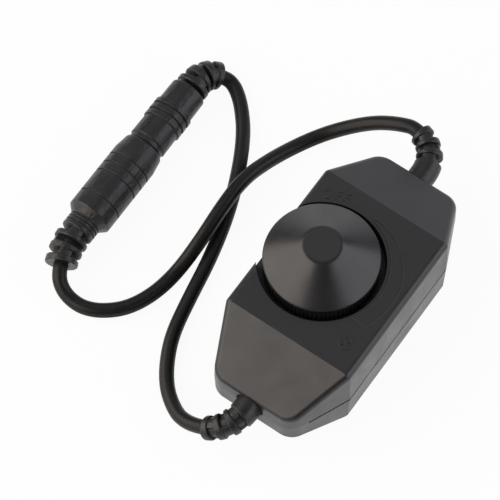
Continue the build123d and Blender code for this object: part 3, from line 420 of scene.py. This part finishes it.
# %% Group: moulded skin
FLOW_SCALE = 0.16
FLOW_TINT = 0.18
FLOW_SHINE = 0.11
GRAIN_SHINE = 0.08
skin_group, given, made = start_group(
    "moulded skin",
    [
        ("Color", "Color", (0.02, 0.02, 0.02, 1)),
        ("Roughness", "Float", 0.45),
        ("Grain", "Float", 4.0),
        ("Squeeze", "Vector", (1, 1, 1)),
    ],
    [("Color", "Color"), ("Roughness", "Float"), ("Height", "Float")],
)
where = millimetres(skin_group)
squeezed = place(skin_group, "ShaderNodeVectorMath", operation="MULTIPLY")
grain = place(skin_group, "ShaderNodeTexNoise", Detail=3.0, Roughness=0.65)
flow = place(skin_group, "ShaderNodeTexNoise", Scale=FLOW_SCALE, Detail=3.0, Distortion=0.6)
tint = place(skin_group, "ShaderNodeHueSaturation")
links = skin_group.links
links.new(where, squeezed.inputs[0])
links.new(given.outputs["Squeeze"], squeezed.inputs[1])
links.new(squeezed.outputs["Vector"], grain.inputs["Vector"])
links.new(where, flow.inputs["Vector"])
links.new(given.outputs["Grain"], grain.inputs["Scale"])
links.new(given.outputs["Color"], tint.inputs["Color"])
links.new(change(skin_group, flow.outputs["Fac"], 1 - FLOW_TINT, 1 + FLOW_TINT), tint.inputs["Value"])
links.new(tint.outputs["Color"], made.inputs["Color"])
smeared = change(skin_group, flow.outputs["Fac"], -FLOW_SHINE, FLOW_SHINE, given.outputs["Roughness"])
grained = change(skin_group, grain.outputs["Fac"], -GRAIN_SHINE, GRAIN_SHINE, smeared)
links.new(grained, made.inputs["Roughness"])
links.new(grain.outputs["Fac"], made.inputs["Height"])
print("moulded skin has", len(skin_group.nodes), "nodes")

# %% [markdown]
# ** Softened edges.** No moulded edge is truly sharp. The Bevel node bends the normals near an edge, so a
# small round catches the light there, and the angle between the bent normal and the face's own marks the
# edge, where handling polishes the grain away. The finishes paint that edge paler, partly as wear and partly as a
# painted highlight.

# %% Group: softened edges
EDGE_SAMPLES = 6
EDGE_START = 0.998
EDGE_FULL = 0.86
edge_group, given, made = start_group(
    "softened edges",
    [("Radius", "Float", 0.2 * MM)],
    [("Normal", "Vector"), ("Edge", "Float")],
)
rounded = place(edge_group, "ShaderNodeBevel", samples=EDGE_SAMPLES)
face = place(edge_group, "ShaderNodeNewGeometry")
turned = place(edge_group, "ShaderNodeVectorMath", operation="DOT_PRODUCT")
marked = place(edge_group, "ShaderNodeMapRange", From_Min=EDGE_START, From_Max=EDGE_FULL)
links = edge_group.links
links.new(given.outputs["Radius"], rounded.inputs["Radius"])
links.new(rounded.outputs["Normal"], turned.inputs[0])
links.new(face.outputs["Normal"], turned.inputs[1])
links.new(turned.outputs["Value"], marked.inputs["Value"])
links.new(rounded.outputs["Normal"], made.inputs["Normal"])
links.new(marked.outputs["Result"], made.inputs["Edge"])
print("softened edges has", len(edge_group.nodes), "nodes")

# %% [markdown]
# ** Sheltered corners.** Hands polish the open faces of the plastic, but never reach the bottom of a groove,
# which stays dull. Ambient Occlusion measures how much of its surroundings a point can see within a short
# reach, so the points that see little are the sheltered ones. The finishes use this mask to raise the roughness
# and to paint shade, darkening grooves and the side of a lead that lies against the table. Each finish says how
# open a point is where its shelter starts and where it is full.

# %% Group: sheltered corners
SHELTER_SAMPLES = 8
shelter_group, given, made = start_group(
    "sheltered corners",
    [("Reach", "Float", 2.0 * MM), ("Start", "Float", 0.72), ("Full", "Float", 0.40)],
    [("Shelter", "Float")],
)
open_share = place(shelter_group, "ShaderNodeAmbientOcclusion", samples=SHELTER_SAMPLES)
hidden = place(shelter_group, "ShaderNodeMapRange")
links = shelter_group.links
links.new(given.outputs["Reach"], open_share.inputs["Distance"])
links.new(open_share.outputs["AO"], hidden.inputs["Value"])
links.new(given.outputs["Start"], hidden.inputs["From Min"])
links.new(given.outputs["Full"], hidden.inputs["From Max"])
links.new(hidden.outputs["Result"], made.inputs["Shelter"])
print("sheltered corners has", len(shelter_group.nodes), "nodes")

# %% [markdown]
# **Dust.** Black plastic draws dust, which settles in specks on whatever faces up. Thresholded noise makes
# the specks, and the upward part of the face's normal thins them out on the walls.

# %% Group: settled dust
SPECKS_PER_MM = 5.5
SPECK_START = 0.70
SPECK_FULL = 0.80
dust_group, given, made = start_group("settled dust", [("Amount", "Float", 0.5)], [("Dust", "Float")])
specks = place(dust_group, "ShaderNodeTexNoise", Scale=SPECKS_PER_MM, Detail=1.0)
sparse = place(dust_group, "ShaderNodeMapRange", From_Min=SPECK_START, From_Max=SPECK_FULL)
face = place(dust_group, "ShaderNodeNewGeometry")
parts = place(dust_group, "ShaderNodeSeparateXYZ")
settled = place(dust_group, "ShaderNodeMath", operation="MULTIPLY", use_clamp=True)
measured = place(dust_group, "ShaderNodeMath", operation="MULTIPLY", use_clamp=True)
links = dust_group.links
links.new(millimetres(dust_group), specks.inputs["Vector"])
links.new(specks.outputs["Fac"], sparse.inputs["Value"])
links.new(face.outputs["Normal"], parts.inputs["Vector"])
links.new(sparse.outputs["Result"], settled.inputs[0])
links.new(parts.outputs["Z"], settled.inputs[1])
links.new(settled.outputs["Value"], measured.inputs[0])
links.new(given.outputs["Amount"], measured.inputs[1])
links.new(measured.outputs["Value"], made.inputs["Dust"])
print("settled dust has", len(dust_group.nodes), "nodes")

# %% [markdown]
# **Extruded jacket.** A cable's jacket is drawn through a die, which leaves faint lines along its length.
# The noise is stretched along one axis of the coordinates that the finish gives it: along the curve's own
# UV for a lead, and along the housing for the cores inside.

# %% Group: extruded jacket
MOTTLE_SCALE = 0.35
MOTTLE_TINT = 0.25
MOTTLE_SHINE = 0.10
DIE_SHINE = 0.06
jacket_group, given, made = start_group(
    "extruded jacket",
    [
        ("Vector", "Vector", (0, 0, 0)),
        ("Color", "Color", (0.02, 0.02, 0.02, 1)),
        ("Roughness", "Float", 0.45),
    ],
    [("Color", "Color"), ("Roughness", "Float"), ("Height", "Float")],
)
die_lines = place(jacket_group, "ShaderNodeTexNoise", Scale=1.0, Detail=2.0)
mottle = place(jacket_group, "ShaderNodeTexNoise", Scale=MOTTLE_SCALE, Detail=4.0)
tint = place(jacket_group, "ShaderNodeHueSaturation")
links = jacket_group.links
links.new(given.outputs["Vector"], die_lines.inputs["Vector"])
links.new(millimetres(jacket_group), mottle.inputs["Vector"])
links.new(given.outputs["Color"], tint.inputs["Color"])
links.new(change(jacket_group, mottle.outputs["Fac"], 1 - MOTTLE_TINT, 1 + MOTTLE_TINT), tint.inputs["Value"])
links.new(tint.outputs["Color"], made.inputs["Color"])
mottled = change(jacket_group, mottle.outputs["Fac"], -MOTTLE_SHINE, MOTTLE_SHINE, given.outputs["Roughness"])
lined = change(jacket_group, die_lines.outputs["Fac"], -DIE_SHINE, DIE_SHINE, mottled)
links.new(lined, made.inputs["Roughness"])
links.new(die_lines.outputs["Fac"], made.inputs["Height"])
print("extruded jacket has", len(jacket_group.nodes), "nodes")

# %% [markdown]
# **Turned rings.** Metal pieces that were turned on a lathe, or rolled, carry fine rings round their axis.
# One-dimensional noise along the axis gives them, so each finish only says which way its axis lies.

# %% Group: turned rings
RING_SHINE = 0.1
ring_group, given, made = start_group(
    "turned rings",
    [("Axis", "Vector", (0, 0, 1)), ("Roughness", "Float", 0.3), ("Rings", "Float", 6.0)],
    [("Roughness", "Float"), ("Height", "Float")],
)
along_axis = place(ring_group, "ShaderNodeVectorMath", operation="DOT_PRODUCT")
rings = place(ring_group, "ShaderNodeTexNoise", noise_dimensions="1D", Detail=3.0)
links = ring_group.links
links.new(millimetres(ring_group), along_axis.inputs[0])
links.new(given.outputs["Axis"], along_axis.inputs[1])
links.new(along_axis.outputs["Value"], rings.inputs["W"])
links.new(given.outputs["Rings"], rings.inputs["Scale"])
ringed = change(ring_group, rings.outputs["Fac"], -RING_SHINE, RING_SHINE, given.outputs["Roughness"])
links.new(ringed, made.inputs["Roughness"])
links.new(rings.outputs["Fac"], made.inputs["Height"])
print("turned rings has", len(ring_group.nodes), "nodes")

# %% [markdown]
# ## Finishes
# Each finish is one material. All but one are named for the record's slot that they dress. Values that are
# the same all over go straight onto the shader's sockets.


# %% Parts of a finish
def start_finish(slot, **constants):
    """New material with a Principled shader, and the constants set on the shader's own sockets."""
    material = bpy.data.materials.new(slot)
    material.use_nodes = True
    shader = material.node_tree.nodes["Principled BSDF"]
    for label, value in constants.items():
        shader.inputs[label.replace("_", " ")].default_value = value
    return material, material.node_tree, shader


def blend(tree, mask, below, colour):
    """Mixes a colour over another by a mask that varies."""
    mix = place(tree, "ShaderNodeMix", data_type="RGBA")
    mix.inputs["B"].default_value = colour
    tree.links.new(mask, mix.inputs["Factor"])
    tree.links.new(below, mix.inputs["A"])
    return mix.outputs["Result"]


def emboss(tree, shader, height, depth, normal=None):
    """Turns a height into a bump some millimetres deep, over softened normals if there are any."""
    bump = place(tree, "ShaderNodeBump", Strength=1.0, Distance=depth * MM)
    tree.links.new(height, bump.inputs["Height"])
    if normal is not None:
        tree.links.new(normal, bump.inputs["Normal"])
    tree.links.new(bump.outputs["Normal"], shader.inputs["Normal"])


# %% [markdown]
# **Moulded plastics.** The housing is satin with a fine grain, and the dial is smoother. The reliefs and the
# connectors are soft PVC, which reflects less and has a broad, waxy texture, drawn into streaks along the
# connectors. They differ only in their values, so one function makes them all. The grain counts features per
# millimetre, and its depth and the edges' radius are in millimetres.

# %% Any moulded plastic
DUST_GREY = (0.15, 0.145, 0.135, 1)
# Near black, laid into sheltered corners as painted shade.
PAINTED_SHADE = (0.004, 0.004, 0.004, 1)
CORNER_DULLNESS = 0.45
HARD_IOR = 1.57
SOFT_IOR = 1.51
EVEN_GRAIN = (1, 1, 1)
DRAWN_GRAIN = (0.3, 1, 1)
finishes = {}


def moulded_plastic(slot, ior, colour, polish_and_highlight, roughness, grain, depth, edge, dust, squeeze=EVEN_GRAIN):
    """Dark moulded plastic with a grain, edges painted paler as wear and as a highlight, corners painted darker as
    shade and made duller, and a little dust.
    """
    material, tree, shader = start_finish(slot, IOR=ior)
    skin = use_group(
        tree, skin_group, Color=(*colour, 1), Roughness=roughness, Grain=grain, Squeeze=squeeze
    )
    edges = use_group(tree, edge_group, Radius=edge * MM)
    settled = use_group(tree, dust_group, Amount=dust)
    corners = use_group(tree, shelter_group)
    # Edges are painted paler, partly as wear and partly as a painted highlight.
    worn_and_highlit = blend(tree, edges.outputs["Edge"], skin.outputs["Color"], (*polish_and_highlight, 1))
    dusty = blend(tree, settled.outputs["Dust"], worn_and_highlit, DUST_GREY)
    # Painted shade: the base colour goes near black where the occlusion mask finds a sheltered corner or groove.
    shaded = blend(tree, corners.outputs["Shelter"], dusty, PAINTED_SHADE)
    dull = change(tree, corners.outputs["Shelter"], 0, CORNER_DULLNESS, skin.outputs["Roughness"])
    tree.links.new(shaded, shader.inputs["Base Color"])
    tree.links.new(dull, shader.inputs["Roughness"])
    emboss(tree, shader, skin.outputs["Height"], depth, edges.outputs["Normal"])
    finishes[slot] = material


# %% Finishes: hard plastics outside
moulded_plastic(
    "housing_plastic",
    HARD_IOR,
    colour=(0.0090, 0.0090, 0.0095),
    polish_and_highlight=(0.025, 0.025, 0.026),
    roughness=0.36,
    grain=4.5,
    depth=0.012,
    edge=0.06,
    dust=0.3,
)
moulded_plastic(
    "knob_plastic",
    HARD_IOR,
    colour=(0.0080, 0.0080, 0.0085),
    polish_and_highlight=(0.018, 0.018, 0.019),
    roughness=0.32,
    grain=7.0,
    depth=0.005,
    edge=0.12,
    dust=0.25,
)
print("hard:", ", ".join(finishes))

# %% [markdown]
# The wedge's lines are painted a little paler than the housing, as a painted highlight where their raised
# edges catch the light.

# %% Finish: marks painted paler as a highlight
moulded_plastic(
    "marks_painted_paler",
    HARD_IOR,
    colour=(0.0160, 0.0160, 0.0165),
    polish_and_highlight=(0.030, 0.030, 0.031),
    roughness=0.36,
    grain=4.5,
    depth=0.008,
    edge=0.06,
    dust=0.3,
)
print("so far:", len(finishes), "finishes")

# %% Finishes: soft plastics outside
moulded_plastic(
    "relief_rubber",
    SOFT_IOR,
    colour=(0.0080, 0.0079, 0.0080),
    polish_and_highlight=(0.024, 0.023, 0.022),
    roughness=0.38,
    grain=1.4,
    depth=0.10,
    edge=0.15,
    dust=0.3,
)
moulded_plastic(
    "connector_overmould",
    SOFT_IOR,
    colour=(0.0085, 0.0084, 0.0089),
    polish_and_highlight=(0.050, 0.049, 0.048),
    roughness=0.34,
    grain=1.2,
    depth=0.22,
    edge=0.20,
    dust=0.3,
    squeeze=DRAWN_GRAIN,
)
print("so far:", len(finishes), "finishes")

# %% Finishes: plastics inside
moulded_plastic(
    "component_epoxy",
    HARD_IOR,
    colour=(0.030, 0.030, 0.032),
    polish_and_highlight=(0.045, 0.045, 0.045),
    roughness=0.55,
    grain=9.0,
    depth=0.010,
    edge=0.08,
    dust=0.2,
)
moulded_plastic(
    "connector_insulator",
    HARD_IOR,
    colour=(0.040, 0.040, 0.042),
    polish_and_highlight=(0.055, 0.055, 0.055),
    roughness=0.42,
    grain=5.0,
    depth=0.008,
    edge=0.10,
    dust=0.1,
)
moulded_plastic(
    "pot_resin",
    HARD_IOR,
    colour=(0.16, 0.09, 0.05),
    polish_and_highlight=(0.20, 0.12, 0.07),
    roughness=0.52,
    grain=8.0,
    depth=0.010,
    edge=0.10,
    dust=0.2,
)
print("so far:", len(finishes), "finishes")

# %% [markdown]
# **Leads.** The jacket is soft PVC, a touch warmer than the housing and duller, since it was drawn through
# a die. A curve carries its own UV, with one axis along the cable and the other round it, so the die lines
# follow every bend.

# %% Finish: jacket of the leads
DIE_STRETCH = (3.0, 70.0, 0.0)
DIE_DEPTH = 0.0125
JACKET_BLACK = (0.0085, 0.0081, 0.0075, 1)
UNDERSIDE_REACH = 6.0 * MM
UNDERSIDE_START = 0.95
UNDERSIDE_FULL = 0.60
jacket, tree, shader = start_finish("cord_jacket", Specular_IOR_Level=0.27)
along_cable = place(tree, "ShaderNodeTexCoord")
stretched = place(tree, "ShaderNodeVectorMath", operation="MULTIPLY")
stretched.inputs[1].default_value = DIE_STRETCH
drawn = use_group(tree, jacket_group, Color=JACKET_BLACK, Roughness=0.36)
settled = use_group(tree, dust_group, Amount=0.35)
underside = use_group(
    tree, shelter_group, Reach=UNDERSIDE_REACH, Start=UNDERSIDE_START, Full=UNDERSIDE_FULL
)
tree.links.new(along_cable.outputs["UV"], stretched.inputs[0])
tree.links.new(stretched.outputs["Vector"], drawn.inputs["Vector"])
dusty = blend(tree, settled.outputs["Dust"], drawn.outputs["Color"], DUST_GREY)
# Painted shade: the side of the lead that lies against the table goes near black.
shaded = blend(tree, underside.outputs["Shelter"], dusty, PAINTED_SHADE)
dull = change(tree, underside.outputs["Shelter"], 0, CORNER_DULLNESS, drawn.outputs["Roughness"])
tree.links.new(shaded, shader.inputs["Base Color"])
tree.links.new(dull, shader.inputs["Roughness"])
emboss(tree, shader, drawn.outputs["Height"], DIE_DEPTH)
finishes["cord_jacket"] = jacket
print("jacket has", len(tree.nodes), "nodes")

# %% [markdown]
# **Cores of the leads.** Inside the housing each lead splits into a red core and a black one. They lie side
# by side, so the side of the lead's middle line decides the colour.

# %% Finish: insulation of the cores
CORE_MIDDLE = 0.45
CORE_STRETCH = (0.4, 9.0, 9.0)
CORE_DEPTH = 0.004
CORE_RED = (0.35, 0.022, 0.02, 1)
CORE_BLACK = (0.02, 0.02, 0.02, 1)
insulation, tree, shader = start_finish("lead_insulation", Coat_Weight=0.2)
where = millimetres(tree)
stretched = place(tree, "ShaderNodeVectorMath", operation="MULTIPLY")
stretched.inputs[1].default_value = CORE_STRETCH
drawn = use_group(tree, jacket_group, Color=CORE_RED, Roughness=0.34)
parts = place(tree, "ShaderNodeSeparateXYZ")
black_side = place(tree, "ShaderNodeMath", operation="LESS_THAN")
black_side.inputs[1].default_value = CORE_MIDDLE
tree.links.new(where, stretched.inputs[0])
tree.links.new(stretched.outputs["Vector"], drawn.inputs["Vector"])
tree.links.new(where, parts.inputs["Vector"])
tree.links.new(parts.outputs["Y"], black_side.inputs[0])
two_coloured = blend(tree, black_side.outputs["Value"], drawn.outputs["Color"], CORE_BLACK)
tree.links.new(two_coloured, shader.inputs["Base Color"])
tree.links.new(drawn.outputs["Roughness"], shader.inputs["Roughness"])
emboss(tree, shader, drawn.outputs["Height"], CORE_DEPTH)
finishes["lead_insulation"] = insulation
print("insulation has", len(tree.nodes), "nodes")

# %% [markdown]
# **Metals.** Screws, shaft, nut and contacts are turned or rolled, so they share the rings, and each has its
# own colour, shine and axis. Base colour is the same all over a clean metal, so it sits on the shader.

# %% Finishes: metals
UPRIGHT = (0, 0, 1)
LENGTHWISE = (1, 0, 0)
METAL_EDGE = 0.08 * MM
RING_DEPTH = 0.003


def turned_metal(slot, colour, roughness, axis, rings_per_mm):
    """Bare or plated metal with rings round its axis."""
    material, tree, shader = start_finish(slot, Base_Color=(*colour, 1), Metallic=1.0)
    rings = use_group(tree, ring_group, Axis=axis, Roughness=roughness, Rings=rings_per_mm)
    edges = use_group(tree, edge_group, Radius=METAL_EDGE)
    tree.links.new(rings.outputs["Roughness"], shader.inputs["Roughness"])
    emboss(tree, shader, rings.outputs["Height"], RING_DEPTH, edges.outputs["Normal"])
    finishes[slot] = material


turned_metal("screw_steel", (0.52, 0.52, 0.50), 0.34, UPRIGHT, 5.0)
turned_metal("pot_metal", (0.55, 0.55, 0.56), 0.36, UPRIGHT, 4.0)
turned_metal("shaft_metal", (0.72, 0.72, 0.73), 0.28, UPRIGHT, 7.0)
turned_metal("capacitor_can", (0.64, 0.64, 0.66), 0.30, UPRIGHT, 3.0)
turned_metal("contact_metal", (0.72, 0.70, 0.66), 0.20, LENGTHWISE, 6.0)
print("so far:", len(finishes), "finishes")

# %% [markdown]
# **Circuit board.** Green solder mask over copper: where a track runs below, the mask looks lighter. A brick
# pattern with thin, long bricks draws the gaps between tracks.

# %% Finish: circuit board
TRACK_GREEN = (0.020, 0.130, 0.045, 1)
TRACK_PALE = (0.026, 0.150, 0.055, 1)
GAP_GREEN = (0.012, 0.075, 0.030, 1)
TRACK_DEPTH = 0.009
board, tree, shader = start_finish("board_laminate", Coat_Weight=0.4, Coat_Roughness=0.15)
tracks = place(tree, "ShaderNodeTexBrick", Scale=0.22, Mortar_Size=0.035, Brick_Width=1.6, Row_Height=0.32)
tracks.inputs["Color1"].default_value = TRACK_GREEN
tracks.inputs["Color2"].default_value = TRACK_PALE
tracks.inputs["Mortar"].default_value = GAP_GREEN
skin = use_group(tree, skin_group, Roughness=0.36, Grain=6.0)
tree.links.new(millimetres(tree), tracks.inputs["Vector"])
tree.links.new(tracks.outputs["Color"], skin.inputs["Color"])
tree.links.new(skin.outputs["Color"], shader.inputs["Base Color"])
tree.links.new(skin.outputs["Roughness"], shader.inputs["Roughness"])
emboss(tree, shader, tracks.outputs["Fac"], TRACK_DEPTH)
finishes["board_laminate"] = board
print("board has", len(tree.nodes), "nodes")

# %% [markdown]
# The record says which slot each CAD node takes its finish from, so dressing them is one loop. The leads and
# the marks are named one by one.

# %% Dress every piece
slot_of = {part["node"]: part["material_slot"] for part in frame["record"]["subparts"]}
for name, node in frame["nodes"].items():
    node.data.materials.clear()
    node.data.materials.append(finishes[slot_of[name]])
for lead in leads:
    lead.data.materials.append(finishes["cord_jacket"])
level_wedge.data.materials.append(finishes["marks_painted_paler"])
for mark in (off_word, lamp_sign):
    mark.data.materials.append(finishes["housing_plastic"])
print(len(slot_of), "nodes dressed in", len(finishes), "finishes")

# %% [markdown]
# ## Floor
# The object lies on a plain white table. The floor is a real diffuse surface, so it takes the object's soft
# shadow, mixed with plain white for the rays that see it directly or in a reflection, so the background
# comes out white without more light on the object.

# %% White floor that keeps the shadow
FLOOR_HALF = 3.0
FLOOR_GAP = 0.02 * MM
FLOOR_WHITE = 0.94
TABLE_PALE = (0.9, 0.9, 0.9, 1)
floor_mesh = bpy.data.meshes.new("floor")
floor_z = cad_low.z - FLOOR_GAP
square = [(x * FLOOR_HALF, y * FLOOR_HALF, floor_z) for x, y in ((-1, -1), (1, -1), (1, 1), (-1, 1))]
floor_mesh.from_pydata(square, [], [(0, 1, 2, 3)])
floor = show(floor_mesh, "floor")


def seen_rays(tree):
    """1 for rays that see the background: straight from the camera, in a reflection or through glass."""
    path = place(tree, "ShaderNodeLightPath")
    total = path.outputs["Is Camera Ray"]
    for label in ("Is Glossy Ray", "Is Transmission Ray"):
        either = place(tree, "ShaderNodeMath", operation="MAXIMUM")
        tree.links.new(total, either.inputs[0])
        tree.links.new(path.outputs[label], either.inputs[1])
        total = either.outputs["Value"]
    return total


table_white = bpy.data.materials.new("table_white")
table_white.use_nodes = True
tree = table_white.node_tree
tree.nodes.remove(tree.nodes["Principled BSDF"])
lit = place(tree, "ShaderNodeBsdfDiffuse", Color=TABLE_PALE)
white = place(tree, "ShaderNodeEmission", Color=(1, 1, 1, 1), Strength=1.0)
share = place(tree, "ShaderNodeMath", operation="MULTIPLY")
share.inputs[1].default_value = FLOOR_WHITE
surface = place(tree, "ShaderNodeMixShader")
tree.links.new(seen_rays(tree), share.inputs[0])
tree.links.new(share.outputs["Value"], surface.inputs[0])
tree.links.new(lit.outputs["BSDF"], surface.inputs[1])
tree.links.new(white.outputs["Emission"], surface.inputs[2])
tree.links.new(surface.outputs["Shader"], tree.nodes["Material Output"].inputs["Surface"])
floor_mesh.materials.append(table_white)
print("floor is", 2 * FLOOR_HALF, "m wide")

# %% [markdown]
# ## Studio
# The satin plastic shows the room, so the lights stand where the dial's bright and dark sides say they are.
# A wide, warm softbox on the left and a cooler, weaker one on the right leave a dark gap between them on the
# camera's side. A small one above and behind lifts the flat top. Low behind the object is a pale backdrop,
# which the far slope and the back of the dial reflect, and the rest of the room is dim. The camera looks down
# on the table, so the white that it sees is the floor's. Each lamp has a turn and a rise in degrees, then its
# distance, its width and height in metres, its power in watts and its colour.


# %% Soft lights
def direction_to(turn, rise):
    """Unit vector at a turn about the vertical and a rise above the table, both in degrees."""
    level = cos(radians(rise))
    return Vector((level * cos(radians(turn)), level * sin(radians(turn)), sin(radians(rise))))


LAMPS = (
    ("left_softbox", (131, 34), 0.65, (1.14, 0.68), 6.1, (1.0, 0.92, 0.85)),
    ("right_softbox", (-65, 30), 0.66, (1.04, 0.56), 3.0, (0.94, 0.94, 1.0)),
    ("back_softbox", (35, 60), 0.85, (0.60, 0.60), 0.6, (0.96, 0.95, 1.0)),
)
for name, (turn, rise), distance, (width, tall), power, colour in LAMPS:
    light = bpy.data.lights.new(name, "AREA")
    light.shape = "RECTANGLE"
    light.size = width
    light.size_y = tall
    light.energy = power
    light.color = colour
    lamp = show(light, name)
    lamp.location = direction_to(turn, rise) * distance
    lamp.rotation_euler = lamp.location.to_track_quat("Z", "Y").to_euler()
    print(name, f"{power} W, {width} m by {tall} m")

# %% Dim room with a pale backdrop
ROOM_DIM = (0.15, 0.15, 0.16, 1)
BACKDROP_PALE = (0.70, 0.69, 0.78, 1)
BACKDROP_TURN = 25
BACKDROP_EDGE = 0.72
BACKDROP_HEART = 0.95
room = bpy.data.worlds.new("studio_room")
room.use_nodes = True
scene.world = room
tree = room.node_tree
direction = place(tree, "ShaderNodeTexCoord")
facing = place(tree, "ShaderNodeVectorMath", operation="DOT_PRODUCT")
facing.inputs[1].default_value = direction_to(BACKDROP_TURN, 0)
spread = place(tree, "ShaderNodeMapRange", From_Min=BACKDROP_EDGE, From_Max=BACKDROP_HEART)
spread.interpolation_type = "SMOOTHSTEP"
fade = place(tree, "ShaderNodeMix", data_type="RGBA")
fade.inputs["A"].default_value = ROOM_DIM
fade.inputs["B"].default_value = BACKDROP_PALE
tree.links.new(direction.outputs["Generated"], facing.inputs[0])
tree.links.new(facing.outputs["Value"], spread.inputs["Value"])
tree.links.new(spread.outputs["Result"], fade.inputs["Factor"])
tree.links.new(fade.outputs["Result"], tree.nodes["Background"].inputs["Color"])
print("room is", ROOM_DIM[:3], "with a backdrop of", BACKDROP_PALE[:3])
